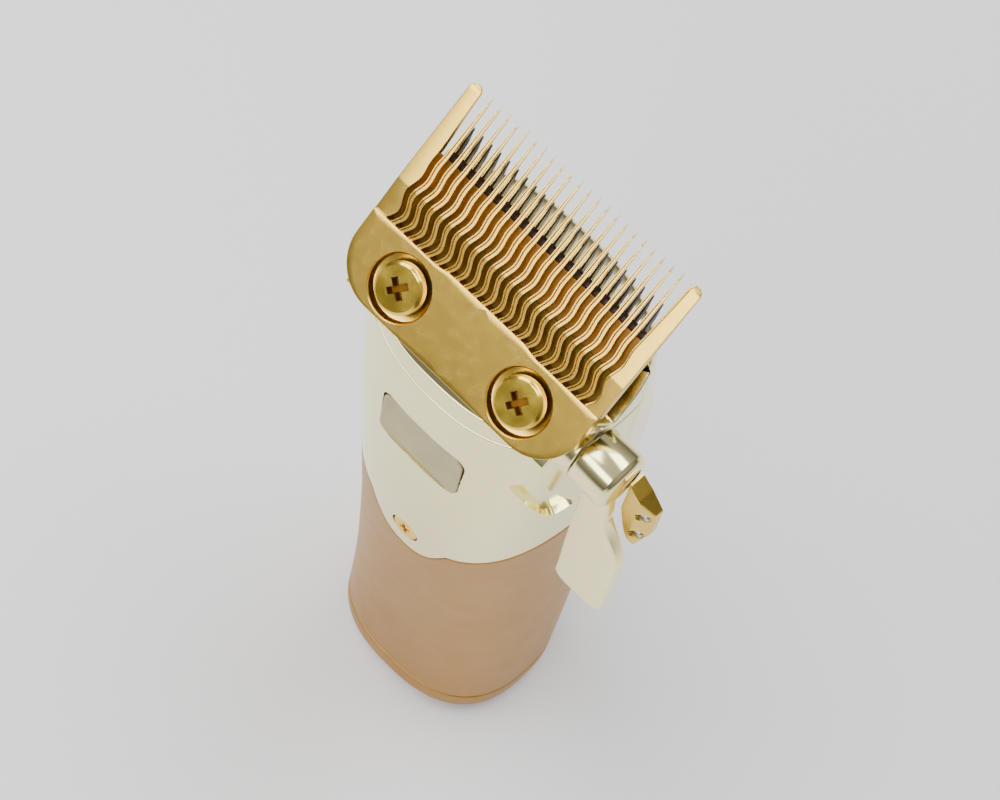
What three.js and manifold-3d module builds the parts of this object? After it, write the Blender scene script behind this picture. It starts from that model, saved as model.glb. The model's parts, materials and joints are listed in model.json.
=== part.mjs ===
// Cordless hair clipper with a taper lever, standing on its base. Millimetres, +Z up.
// The origin is the middle of the flat base, the blade faces -Y and the lever is on the +X side.
import * as THREE from "three";
import { mergeVertices } from "three/addons/utils/BufferGeometryUtils.js";
import Module from "manifold-3d";

const wasm = await Module();
wasm.setup();

// ---- Driving dimensions --------------------------------------------------------------------

// Fits
const GAP = 0.3; // between two pieces that meet
const SLIDE_FIT = 0.15; // between two pieces that slide on each other
const RUN_FIT = 0.07; // radial, between a shaft and its bush

// Body
const GRIP_HALF_WIDTH = 19.8;
const HEAD_HALF_WIDTH = 23.3;
const GRIP_HALF_DEPTH = 17.5;
const HEAD_FORWARD = 8.8; // how far the front skin leans out at the head
const BELLY_Z = 118; // above this the front skin stands straight up
const HEAD_TAPER = 15.8; // how far the rear skin comes in at the head
const WALL = 2.2;
const BASE_ROUND = 5;
const BASE_HEIGHT = 8;
const BASE_FLOOR = 3;
const ROOF_Z = 151;
const ROOF_WALL = 2;
const SECTION_POWER = 2.5; // 2 is an ellipse, larger is squarer
const SECTION_SIDES = 32;
const SPLIT_Y = -6; // where the front and rear covers meet

// Front cover outline
const SHIELD_CENTRE_Z = 107.5;
const SHIELD_HALF_WIDTH = 23.5;
const SHIELD_DROP = 28.5;
const TONGUE_Z = 80;
const TONGUE_RADIUS = 7.5;
const RIM_Z = 133;
const RIM_RADIUS = 42;

// Blade frame: the step line of the fixed blade, and how far the blade leans back
const BLADE_Y = -18;
const BLADE_Z = 150.6;
const BLADE_LEAN = 43;
const BLADE_HALF_WIDTH = 23;
const PLATE_LENGTH = 12.7;
const PLATE_THICKNESS = 2.2;
const PLATE_CORNER = 8;
const TOOTH_LENGTH = 24;
const TOOTH_STEP = 0.35; // the toothed part lies this far under the plate's face
const FINE_TEETH = 22;
const TOOTH_PITCH = 1.808;
const TOOTH_HALF_WIDTH = 0.55;
const TOOTH_TIP_HALF_WIDTH = 0.12;
const GUARD_WIDTH = 2.1;
const WAVE_SIZE = 0.6;
const WAVE_PITCH = 6.3;
const WAVE_REACH = 13.5;
const CUTTER_THICKNESS = 1.6;
const CUTTER_HALF_WIDTH = 20;
const CUTTER_TIP = 18.3;
const CUTTER_HEEL = -2.2;

// Blade screws
const BLADE_SCREW_X = 12.4;
const BLADE_SCREW_V = -6.7;
const BLADE_SCREW_HEAD = 4.05;
const BLADE_SCREW_SHANK = 1.7;
const COUNTERBORE = 5.2;
const COUNTERBORE_DEPTH = 1.3;

// Taper lever
const HUB_Y = -17.5;
const HUB_Z = 139.5;
const HUB_RADIUS = 5;
const HUB_START = 23.6;
const HUB_END = 30.6;
const SHAFT_RADIUS = 2.5;
const CRANK_SHAFT_RADIUS = 2;
const CRANK_OFFSET = 2.13;
const CRANK_PIN_RADIUS = 1.2;
const LEVER_SWING = 50;
const PADDLE_Z = 101.5;
const PADDLE_WIDTH = 10;
const PADDLE_THICKNESS = 2.8;
const STEM_WIDTH = 5.4;
const SHOULDER_Z = 122;

// Drive
const MOTOR_Y = -3;
const MOTOR_RADIUS = 10.5;
const MOTOR_Z = 84;
const MOTOR_LENGTH = 38;
const CAM_THROW = 1.2;
const CAM_BALL_Z = 138;
const CAM_BALL_RADIUS = 1.5;

// Power
const CELL_RADIUS = 9.2;
const CELL_LENGTH = 65;
const CELL_Y = -5;
const CELL_Z = 14;
const BOARD_Y = 7;
const BOARD_THICKNESS = 1.6;
const SOCKET_Y = 8;
const SOCKET_RADIUS = 4.4;
const SWITCH_Z = 70;
const SWITCH_TRAVEL = 4;
const LAMP_Z = 48;

// Sizes worked out from those above
const LEAN = THREE.MathUtils.degToRad(BLADE_LEAN);
const BED_TOP = -PLATE_THICKNESS - GAP;
const CUTTER_TOP = -PLATE_THICKNESS - SLIDE_FIT;
const CUTTER_BOTTOM = CUTTER_TOP - CUTTER_THICKNESS;
const MOTOR_TOP = MOTOR_Z + MOTOR_LENGTH;
const HALF_SWING = THREE.MathUtils.degToRad(LEVER_SWING / 2);

// ---- Materials -----------------------------------------------------------------------------

const finish = (color, metalness, roughness) =>
  new THREE.MeshStandardMaterial({ color, metalness, roughness });
const SATIN_GOLD = finish(0xc8b06e, 1, 0.35);
const BRIGHT_GOLD = finish(0xe4d082, 1, 0.22);
const CHAMPAGNE = finish(0xebe6d2, 0.9, 0.15);
const COPPER = finish(0xb08e6c, 0.8, 0.45);
const STEEL = finish(0xb9bcc0, 1, 0.3);
const CUTTER_BLACK = finish(0x2a2628, 1, 0.3);
const BLACK = finish(0x1c1c1e, 0, 0.55);
const GREEN = finish(0x1e5b34, 0, 0.5);
const WRAP = finish(0x2f5fa8, 0, 0.5);
const OLIVE = finish(0xb5ae8c, 0.7, 0.4);
const LENS = finish(0xd9efff, 0, 0.1);
const RED = finish(0xa82a22, 0, 0.5);

// ---- Solid helpers -------------------------------------------------------------------------

// A closed three.js geometry as a solid that can be cut and joined.
function solid(geometry) {
  const bare = geometry.index ? geometry.toNonIndexed() : geometry.clone();
  bare.deleteAttribute("normal");
  bare.deleteAttribute("uv");
  const merged = mergeVertices(bare, 1e-4);
  return new wasm.Manifold(
    new wasm.Mesh({
      numProp: 3,
      vertProperties: merged.attributes.position.array,
      triVerts: new Uint32Array(merged.index.array),
    }),
  );
}

// The solid's triangles as a three.js geometry with flat faces.
function skin(body) {
  const mesh = body.getMesh();
  const geometry = new THREE.BufferGeometry();
  geometry.setAttribute("position", new THREE.BufferAttribute(new Float32Array(mesh.vertProperties), 3));
  geometry.setIndex(new THREE.BufferAttribute(new Uint32Array(mesh.triVerts), 1));
  const flat = geometry.toNonIndexed();
  flat.computeVertexNormals();
  return flat;
}

const join = (first, ...rest) => rest.reduce((body, piece) => body.add(piece), first);
const cut = (first, ...rest) => rest.reduce((body, piece) => body.subtract(piece), first);

// A box from its lowest to its highest corner.
function block(low, high) {
  const size = high.map((value, axis) => value - low[axis]);
  const middle = high.map((value, axis) => (value + low[axis]) / 2);
  return solid(new THREE.BoxGeometry(...size).translate(...middle));
}

// A round bar along an axis, from one position to another, centred on the other two coordinates.
function rod(axis, radius, from, to, centre, sides = 20) {
  const bar = new THREE.CylinderGeometry(radius, radius, to - from, sides);
  const middle = (from + to) / 2;
  if (axis === "x") bar.rotateZ(-Math.PI / 2).translate(middle, centre[0], centre[1]);
  if (axis === "y") bar.translate(centre[0], middle, centre[1]);
  if (axis === "z") bar.rotateX(Math.PI / 2).translate(centre[0], centre[1], middle);
  return solid(bar);
}

// A flat outline pulled up from one height to another along Z.
function plate(outline, from, to, curveSteps = 8) {
  const depth = to - from;
  const pulled = new THREE.ExtrudeGeometry(outline, {
    depth,
    bevelEnabled: false,
    curveSegments: curveSteps,
  });
  return solid(pulled.translate(0, 0, from));
}

// A front view outline, x and z, pulled along Y from one position to another.
function panel(outline, from, to, curveSteps = 8) {
  const pulled = new THREE.ExtrudeGeometry(outline, {
    depth: to - from,
    bevelEnabled: false,
    curveSegments: curveSteps,
  });
  return solid(pulled.rotateX(Math.PI / 2).translate(0, to, 0));
}

function polygon(points) {
  return new THREE.Shape(points.map(([x, y]) => new THREE.Vector2(x, y)));
}

// A rectangle with round corners, centred on a point.
function roundedRectangle(width, height, radius, centreX = 0, centreY = 0) {
  const [x, y] = [centreX - width / 2, centreY - height / 2];
  const shape = new THREE.Shape();
  shape.moveTo(x + radius, y);
  shape.lineTo(x + width - radius, y);
  shape.absarc(x + width - radius, y + radius, radius, -Math.PI / 2, 0);
  shape.lineTo(x + width, y + height - radius);
  shape.absarc(x + width - radius, y + height - radius, radius, 0, Math.PI / 2);
  shape.lineTo(x + radius, y + height);
  shape.absarc(x + radius, y + height - radius, radius, Math.PI / 2, Math.PI);
  shape.lineTo(x, y + radius);
  shape.absarc(x + radius, y + radius, radius, Math.PI, Math.PI * 1.5);
  return shape;
}

// A turned piece on the Z axis from its half profile, radius and height.
function turned(profile, sides = 24) {
  const points = profile.map(([radius, height]) => new THREE.Vector2(radius, height));
  return solid(new THREE.LatheGeometry(points, sides).rotateX(Math.PI / 2));
}

// A pan head screw pointing down -Z with the top of its head at 0 and a cross recess.
function crossScrew(headRadius, headHeight, shankRadius, length, sides = 12) {
  const crown = headHeight * 0.45;
  const body = turned(
    [
      [0, 0],
      [headRadius * 0.55, -crown * 0.15],
      [headRadius * 0.9, -crown * 0.6],
      [headRadius, -crown],
      [headRadius, -headHeight],
      [shankRadius, -headHeight],
      [shankRadius, -length],
      [0, -length],
    ].reverse(),
    sides,
  );
  const arm = headRadius * 0.42;
  const slot = headRadius * 0.11;
  const depth = headHeight * 0.55;
  const across = block([-arm, -slot, -depth], [arm, slot, 1]);
  const along = block([-slot, -arm, -depth], [slot, arm, 1]);
  return cut(body, across, along);
}

function place(name, body, material, parent, matrix) {
  const mesh = new THREE.Mesh(skin(body), material);
  mesh.name = name;
  if (matrix) mesh.applyMatrix4(matrix);
  parent.add(mesh);
  return mesh;
}

// ---- The body's outer form -----------------------------------------------------------------

const frontY = (z) => -GRIP_HALF_DEPTH - HEAD_FORWARD * THREE.MathUtils.smoothstep(z, 10, BELLY_Z);
const rearY = (z) => GRIP_HALF_DEPTH - HEAD_TAPER * THREE.MathUtils.smoothstep(z, 95, BLADE_Z + 14);
const halfWidth = (z) =>
  GRIP_HALF_WIDTH + (HEAD_HALF_WIDTH - GRIP_HALF_WIDTH) * THREE.MathUtils.smoothstep(z, 60, HUB_Z - 4);

// How far the skin is drawn in by the round edge of the base.
function baseInset(z) {
  if (z >= BASE_ROUND) return 0;
  return BASE_ROUND - Math.sqrt(BASE_ROUND ** 2 - (BASE_ROUND - z) ** 2);
}

// The half width of the section at a height, at a distance y across it.
function sideX(z, y, inset = 0) {
  const depth = (rearY(z) - frontY(z)) / 2 - inset;
  const middle = (rearY(z) + frontY(z)) / 2;
  const share = Math.min(1, Math.abs(y - middle) / depth);
  return (halfWidth(z) - inset) * (1 - share ** SECTION_POWER) ** (1 / SECTION_POWER);
}

// A solid that fills the body's form, drawn in by an inset, between two heights. A unit drum is
// turned first, then each point goes out to a superellipse of that height.
function form(from, to, inset = 0, steps = 10) {
  const profile = [new THREE.Vector2(0, from)];
  for (let i = 0; i <= steps; i += 1) {
    profile.push(new THREE.Vector2(1, THREE.MathUtils.lerp(from, to, i / steps)));
  }
  profile.push(new THREE.Vector2(0, to));
  const drum = new THREE.LatheGeometry(profile, SECTION_SIDES).rotateX(Math.PI / 2);
  const position = drum.attributes.position;
  for (let i = 0; i < position.count; i += 1) {
    const z = position.getZ(i);
    const reach = Math.hypot(position.getX(i), position.getY(i));
    const angle = Math.atan2(position.getY(i), position.getX(i));
    const drawnIn = inset + baseInset(Math.max(z, 0));
    const corner = (value) => Math.sign(value) * Math.abs(value) ** (2 / SECTION_POWER);
    const x = corner(Math.cos(angle)) * (halfWidth(z) - drawnIn);
    const y = corner(Math.sin(angle)) * ((rearY(z) - frontY(z)) / 2 - drawnIn);
    position.setXYZ(i, x * reach, (y + (rearY(z) + frontY(z)) / 2) * reach, z);
  }
  return solid(drum);
}

const shell = (from, to, steps) =>
  cut(form(from, to, 0, steps), form(from - 1, to - ROOF_WALL, WALL, steps));

// The front cover's lower outline, an ellipse with a tongue for its screw, grown by a margin.
function shield(margin) {
  const across = SHIELD_HALF_WIDTH + margin;
  const drop = SHIELD_DROP + margin;
  const tongue = TONGUE_RADIUS + margin;
  const bowl = new THREE.Shape();
  bowl.moveTo(across, ROOF_Z + 20);
  bowl.lineTo(-across, ROOF_Z + 20);
  bowl.lineTo(-across, SHIELD_CENTRE_Z);
  bowl.absellipse(0, SHIELD_CENTRE_Z, across, drop, Math.PI, Math.PI * 2);
  const front = -60;
  const bowlPanel = panel(bowl, front, SPLIT_Y - (margin ? 0 : GAP / 2), 18);
  return join(bowlPanel, rod("y", tongue, front, SPLIT_Y - GAP, [0, TONGUE_Z], 28));
}

// Where the front cover's outline meets the split between the front and rear covers
const splitShare = sideX(SHIELD_CENTRE_Z - 14, SPLIT_Y) / SHIELD_HALF_WIDTH;
const REAR_JOINT_Z = SHIELD_CENTRE_Z - SHIELD_DROP * Math.sqrt(1 - splitShare ** 2);

// The rim between the front cover and the head frame, a drum across the body.
const rimDrum = (margin) => rod("y", RIM_RADIUS + margin, -60, 60, [0, RIM_Z + RIM_RADIUS], 40);

// ---- The blade frame -----------------------------------------------------------------------

// In this frame x is across, v runs up the teeth and w stands out of the blade's face.
const head = new THREE.Group();
head.position.set(0, BLADE_Y, BLADE_Z);
head.rotation.x = Math.PI / 2 - LEAN;
head.updateMatrix();
const fromHead = (body) => solid(skin(body).applyMatrix4(head.matrix));
const toHead = (body) => solid(skin(body).applyMatrix4(head.matrix.clone().invert()));

const hubV = (HUB_Y - BLADE_Y) * Math.sin(LEAN) + (HUB_Z - BLADE_Z) * Math.cos(LEAN);
const hubW = -(HUB_Y - BLADE_Y) * Math.cos(LEAN) + (HUB_Z - BLADE_Z) * Math.sin(LEAN);
const SHELL_TOP = -9.8; // the covers end here behind the teeth
const BED_END = -2.6; // the bed under the plate ends here

function aboveBlade() {
  const overPlate = block([-60, -60, BED_TOP], [60, 60, 60]);
  const overTeeth = block([-60, BED_END, SHELL_TOP], [60, 60, 60]);
  return fromHead(join(overPlate, overTeeth));
}

// ---- Blades --------------------------------------------------------------------------------

// How far a tooth bends sideways at a distance up the blade: a cosine that dies away.
function wave(v) {
  const fade = Math.max(0, 1 - v / WAVE_REACH);
  return WAVE_SIZE * fade * Math.cos((2 * Math.PI * (v - 2)) / WAVE_PITCH);
}

// One tooth edge from root to tip as points, at a distance from the tooth's middle line.
function toothEdge(middle, side, root) {
  const points = [];
  const bends = [root, 2, 3.6, 5.2, 6.8, 8.4, WAVE_REACH, TOOTH_LENGTH];
  for (const v of bends) {
    const taper = THREE.MathUtils.clamp((v - WAVE_REACH) / (TOOTH_LENGTH - WAVE_REACH), 0, 1);
    const half = THREE.MathUtils.lerp(TOOTH_HALF_WIDTH, TOOTH_TIP_HALF_WIDTH, taper);
    points.push([middle + side * half + wave(v), v]);
  }
  return points;
}

function fixedBlade() {
  const base = new THREE.Shape();
  base.moveTo(BLADE_HALF_WIDTH, 0);
  base.lineTo(-BLADE_HALF_WIDTH, 0);
  base.lineTo(-BLADE_HALF_WIDTH, -PLATE_LENGTH + PLATE_CORNER);
  const cornerX = BLADE_HALF_WIDTH - PLATE_CORNER;
  const cornerV = PLATE_CORNER - PLATE_LENGTH;
  base.absarc(-cornerX, cornerV, PLATE_CORNER, Math.PI, Math.PI * 1.5);
  base.absarc(cornerX, cornerV, PLATE_CORNER, Math.PI * 1.5, Math.PI * 2);
  const root = 0.6;
  const guardInside = BLADE_HALF_WIDTH - GUARD_WIDTH;
  const outline = [
    [-BLADE_HALF_WIDTH, -0.5],
    [BLADE_HALF_WIDTH, -0.5],
    [BLADE_HALF_WIDTH, TOOTH_LENGTH - 1],
    [BLADE_HALF_WIDTH - 1, TOOTH_LENGTH],
    [guardInside + 0.4, TOOTH_LENGTH],
    [guardInside, WAVE_REACH],
    [guardInside, root],
  ];
  for (let i = FINE_TEETH - 1; i >= 0; i -= 1) {
    const middle = (i - (FINE_TEETH - 1) / 2) * TOOTH_PITCH;
    outline.push(...toothEdge(middle, 1, root), ...toothEdge(middle, -1, root).reverse());
  }
  outline.push(
    [-guardInside, root],
    [-guardInside, WAVE_REACH],
    [-guardInside - 0.4, TOOTH_LENGTH],
    [-BLADE_HALF_WIDTH + 1, TOOTH_LENGTH],
    [-BLADE_HALF_WIDTH, TOOTH_LENGTH - 1],
  );
  const comb = plate(polygon(outline), -PLATE_THICKNESS, -TOOTH_STEP);
  const holes = [-1, 1].flatMap((side) => {
    const centre = [side * BLADE_SCREW_X, BLADE_SCREW_V];
    return [
      rod("z", COUNTERBORE, -COUNTERBORE_DEPTH, 1, centre, 28),
      rod("z", BLADE_SCREW_SHANK + GAP, -PLATE_THICKNESS - 1, 1, centre, 16),
    ];
  });
  return cut(join(plate(base, -PLATE_THICKNESS, 0), comb), ...holes);
}

function cutterBlade() {
  const root = 8;
  const outline = [
    [-CUTTER_HALF_WIDTH, CUTTER_HEEL],
    [CUTTER_HALF_WIDTH, CUTTER_HEEL],
  ];
  for (let i = FINE_TEETH - 1; i >= 0; i -= 1) {
    const middle = (i - (FINE_TEETH - 1) / 2) * TOOTH_PITCH;
    outline.push(
      [middle + TOOTH_HALF_WIDTH, root],
      [middle + TOOTH_TIP_HALF_WIDTH, CUTTER_TIP],
      [middle - TOOTH_TIP_HALF_WIDTH, CUTTER_TIP],
      [middle - TOOTH_HALF_WIDTH, root],
    );
  }
  const body = plate(polygon(outline), CUTTER_BOTTOM, CUTTER_TOP);
  const holes = RIVETS.map((x) =>
    rod("z", RIVET_RADIUS + GAP, CUTTER_BOTTOM - 1, CUTTER_TOP + 1, [x, RIVET_V], 12),
  );
  return cut(body, ...holes);
}

// ---- Cutter carriage -----------------------------------------------------------------------

const YOKE_HALF_WIDTH = 10;
const YOKE_HEEL = -2;
const YOKE_END = 4.2;
const YOKE_TOP = CUTTER_BOTTOM - GAP;
const YOKE_BOTTOM = -9.4;
const RIVETS = [-7, 7];
const RIVET_V = 1.2;
const RIVET_RADIUS = 1;
const TAIL_HALF_WIDTH = 5;
const TAIL_HEEL = -2.4;
const TAIL_END = 2.2;
const TAIL_BOTTOM = -22.5;
const SLIDER_TOP = -11.2;
const SLIDER_THICKNESS = 2;
const SLIDER_HALF_WIDTH = 13;
const SLIDER_END = 4;
const SLIDER_HEEL = -11;
const FORK_X = [5.5, 7.5];
const crankV = hubV - CRANK_OFFSET * Math.sin(HALF_SWING);
const crankW = hubW + CRANK_OFFSET * Math.cos(HALF_SWING);

// The plastic block that carries the cutter, with a forked tail around the motor's ball.
function cutterYoke() {
  const body = block([-YOKE_HALF_WIDTH, YOKE_HEEL, YOKE_BOTTOM], [YOKE_HALF_WIDTH, YOKE_END, YOKE_TOP]);
  const tail = block(
    [-TAIL_HALF_WIDTH, TAIL_HEEL, TAIL_BOTTOM],
    [TAIL_HALF_WIDTH, TAIL_END, YOKE_BOTTOM + 1],
  );
  const room = CAM_BALL_RADIUS + 2 * CAM_THROW + SLIDE_FIT;
  const ballRoom = block([-room, MOTOR_Y - 5.5, CAM_BALL_Z - 9], [room, MOTOR_Y + 6, CAM_BALL_Z + 3]);
  const slot = toHead(ballRoom);
  const rivetHoles = RIVETS.map((x) =>
    rod("z", RIVET_RADIUS + GAP, YOKE_TOP - 2.5, YOKE_TOP + 1, [x, RIVET_V], 12),
  );
  return cut(join(body, tail), slot, ...rivetHoles);
}

function cutterRivet() {
  return turned(
    [
      [0, CUTTER_TOP - 0.3],
      [RIVET_RADIUS, CUTTER_TOP - 0.3],
      [RIVET_RADIUS, YOKE_TOP - 2],
      [0, YOKE_TOP - 2],
    ].reverse(),
    12,
  );
}

// The plate that carries the yoke up and down the blade, with a fork for the lever's crank pin.
function depthSlider() {
  const bottom = SLIDER_TOP - SLIDER_THICKNESS;
  const body = block(
    [-SLIDER_HALF_WIDTH, SLIDER_HEEL, bottom],
    [SLIDER_HALF_WIDTH, SLIDER_END, SLIDER_TOP],
  );
  const windowSide = TAIL_HALF_WIDTH + CAM_THROW + 2 * GAP;
  const opening = block(
    [-windowSide, TAIL_HEEL - GAP, bottom - 1],
    [windowSide, TAIL_END + GAP, SLIDER_TOP + 1],
  );
  const fork = block(
    [FORK_X[0], crankV - 2.8, SLIDER_TOP - 0.5],
    [FORK_X[1], crankV + 2.8, crankW + 0.9],
  );
  const reach = CRANK_PIN_RADIUS + SLIDE_FIT;
  const slot = block(
    [FORK_X[0] - 1, crankV - reach, crankW - reach - 0.4],
    [FORK_X[1] + 1, crankV + reach, 0],
  );
  return cut(join(body, fork), opening, slot);
}

// A bent leaf that presses the yoke against the cutter.
function yokeSpring(side) {
  const [low, high] = [SLIDER_TOP + GAP / 2, YOKE_BOTTOM - SLIDE_FIT];
  const inner = TAIL_HALF_WIDTH + CAM_THROW + GAP;
  const outer = inner + 4;
  const thick = 0.35;
  const outline = polygon([
    [inner, low],
    [inner + 1.2, low],
    [outer, high - thick],
    [outer, high],
    [inner + 1, low + thick],
    [inner, low + thick],
  ]);
  const leaf = new THREE.ExtrudeGeometry(outline, { depth: 3, bevelEnabled: false });
  leaf.rotateX(Math.PI / 2).translate(0, 1.5, 0);
  if (side < 0) leaf.rotateZ(Math.PI);
  return solid(leaf);
}

// A plastic channel that guides one edge of the slider, with a tall outer cheek.
function guideRail(side) {
  const inner = SLIDER_HALF_WIDTH - 1.4;
  const outer = SLIDER_HALF_WIDTH + 4;
  const bottom = SLIDER_TOP - SLIDER_THICKNESS;
  const rail = block([inner, -8, bottom - 2], [outer, 5, SLIDER_TOP + 0.8]);
  const cheek = block([SLIDER_HALF_WIDTH + 1, BED_END + GAP, SLIDER_TOP], [outer, 5, YOKE_TOP - 1]);
  const groove = block(
    [inner - 1, -9, bottom - SLIDE_FIT],
    [SLIDER_HALF_WIDTH + SLIDE_FIT, 6, SLIDER_TOP + SLIDE_FIT],
  );
  const right = cut(join(rail, cheek), groove);
  return side > 0 ? right : right.mirror([1, 0, 0]);
}

// ---- Head frame and covers -----------------------------------------------------------------

const BED_THICKNESS = 1.7;
const BOSS_RADIUS = 3.2;
const BOSS_BOTTOM = -5;

// The cast frame at the blade: a band of the outer skin, the bed under the plate, two bosses
// for the blade screws and a round boss for the lever's shaft.
function headFrame() {
  const skinBand = shell(RIM_Z - 4, ROOF_Z, 4).intersect(rimDrum(0));
  const front = block([-60, -60, 0], [60, SPLIT_Y - GAP / 2, 200]);
  const bedBlock = block([-60, -PLATE_LENGTH - 2, BED_TOP - BED_THICKNESS], [60, BED_END, BED_TOP]);
  const bed = fromHead(bedBlock).intersect(form(RIM_Z - 4, ROOF_Z, WALL / 2, 4));
  const screwCentres = [-1, 1].map((side) => [side * BLADE_SCREW_X, BLADE_SCREW_V]);
  const bosses = screwCentres.map((centre) =>
    fromHead(rod("z", BOSS_RADIUS, BOSS_BOTTOM, BED_TOP, centre)),
  );
  const leverBoss = rod("x", HUB_RADIUS, SHAFT_BORE_START, HUB_START - GAP, [HUB_Y, HUB_Z], 32);
  const screwHoles = screwCentres.map((centre) =>
    fromHead(rod("z", BLADE_SCREW_SHANK + 0.1, BOSS_BOTTOM - 1, 0, centre)),
  );
  const shaftBore = rod("x", BUSH_RADIUS + RUN_FIT, SHAFT_BORE_START - 6, HUB_START, [HUB_Y, HUB_Z]);
  return cut(
    join(cut(skinBand.intersect(front), aboveBlade()), bed, ...bosses, leverBoss),
    ...screwHoles,
    shaftBore,
  );
}

const PLATE_Z = 116;
const PLATE_WIDTH = 17;
const PLATE_HEIGHT = 12;
const PLATE_DEPTH = 1.2;
const PLATE_LEAF = 0.5;
const POCKET_X = [16.5, 22.8];
const POCKET_Z = [112, 124];
const HOUSING_SCREW_HEAD = 2.6;

// The polished front cover: the shield outline of the skin, with a recess for the rating
// plate, a pocket beside the lever and a counterbored screw hole in its tongue.
function frontHousing() {
  const outline = shell(TONGUE_Z - TONGUE_RADIUS - 2, ROOF_Z, 8).intersect(shield(0));
  const plateRecess = panel(
    roundedRectangle(PLATE_WIDTH + 2 * GAP, PLATE_HEIGHT + 2 * GAP, 2.5, 0, PLATE_Z),
    -60,
    frontY(PLATE_Z) + PLATE_DEPTH,
    4,
  );
  const pocketReach = block([POCKET_X[0], -60, POCKET_Z[0]], [POCKET_X[1], SPLIT_Y, POCKET_Z[1]]);
  const pocket = cut(pocketReach, form(POCKET_Z[0] - 2, POCKET_Z[1] + 2, WALL - 0.9, 4));
  const counterbore = rod("y", HOUSING_SCREW_HEAD + GAP, -60, frontY(TONGUE_Z) + 1.4, [0, TONGUE_Z]);
  const screwHole = rod("y", 1.4, -60, 0, [0, TONGUE_Z], 16);
  const bossRoom = rod("x", HUB_RADIUS + GAP, 15, 30, [HUB_Y, HUB_Z]);
  return cut(outline, rimDrum(GAP), bossRoom, plateRecess, pocket, counterbore, screwHole);
}

function ratingPlate() {
  const outline = roundedRectangle(PLATE_WIDTH, PLATE_HEIGHT, 2.2, 0, PLATE_Z);
  const back = frontY(PLATE_Z) + PLATE_DEPTH - GAP;
  return panel(outline, back - PLATE_LEAF, back, 4);
}

const REAR_SCREW_X = 13;
const REAR_SCREW_Z = 97;
const REAR_SCREW_HEAD = 2.3;
const REAR_SCREW_SEAT = 14.6;

function rearHousing() {
  const rear = block([-60, SPLIT_Y + GAP / 2, REAR_JOINT_Z], [60, 60, 200]);
  const holes = [-1, 1].flatMap((side) => {
    const centre = [side * REAR_SCREW_X, REAR_SCREW_Z];
    return [
      rod("y", REAR_SCREW_HEAD + GAP, REAR_SCREW_SEAT, 60, centre, 20),
      rod("y", 1.3, 6, 60, centre, 12),
    ];
  });
  return cut(shell(REAR_JOINT_Z - 2, ROOF_Z, 7).intersect(rear), aboveBlade(), ...holes);
}

const SLOT_HALF_WIDTH = 1.9;
const BEZEL_WIDTH = 13;
const BEZEL_HEIGHT = 27;
const BEZEL_SEAT = GRIP_HALF_DEPTH - 1.4;
const STEM_HALF_HEIGHT = 1.2;
const SLOT_HALF_HEIGHT = STEM_HALF_HEIGHT + SWITCH_TRAVEL + GAP;
const LAMP_RADIUS = 1.5;

// The copper coloured grip, a tube of the skin with the front cover's outline taken out of it.
function gripBody() {
  const top = REAR_JOINT_Z + 6;
  const tube = cut(form(BASE_HEIGHT + GAP, top, 0, 7), form(BASE_HEIGHT - 1, top + 1, WALL, 7));
  const aboveRear = block([-60, SPLIT_Y - 1, REAR_JOINT_Z - GAP], [60, 60, 200]);
  const bezelSeat = panel(
    roundedRectangle(BEZEL_WIDTH + 2 * GAP, BEZEL_HEIGHT + 2 * GAP, 3, 0, SWITCH_Z),
    BEZEL_SEAT,
    60,
    4,
  );
  const slot = block(
    [-SLOT_HALF_WIDTH, 0, SWITCH_Z - SLOT_HALF_HEIGHT],
    [SLOT_HALF_WIDTH, 60, SWITCH_Z + SLOT_HALF_HEIGHT],
  );
  const lampHole = rod("y", LAMP_RADIUS + GAP, 0, 60, [0, LAMP_Z], 16);
  return cut(tube, shield(GAP), aboveRear, bezelSeat, slot, lampHole);
}

const BASE_SCREW_X = 12.5;
const BASE_SCREW_HEAD = 2.2;

// The base: a dish with a round edge, a collar for the charging socket and two screw holes.
function baseCap() {
  const dish = cut(form(0, BASE_HEIGHT, 0, 6), form(BASE_FLOOR, BASE_HEIGHT + 1, WALL, 1));
  const collar = rod("z", SOCKET_RADIUS + 1.2, 1, SOCKET_COLLAR_TOP, [0, SOCKET_Y]);
  const mouth = rod("z", SOCKET_RADIUS, -1, SOCKET_COLLAR_TOP + 1, [0, SOCKET_Y]);
  const screwHoles = [-1, 1].flatMap((side) => [
    rod("z", BASE_SCREW_HEAD + GAP, -1, 1.6, [side * BASE_SCREW_X, 0], 20),
    rod("z", 1.2, -1, BASE_FLOOR + 1, [side * BASE_SCREW_X, 0], 12),
  ]);
  return cut(join(dish, collar), mouth, ...screwHoles);
}

// ---- Taper lever ---------------------------------------------------------------------------

const BUSH_RADIUS = 3.4;
const SHAFT_BORE_START = 19.9;
const LEVER_FRONT = HUB_Y - 2.3;

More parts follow.
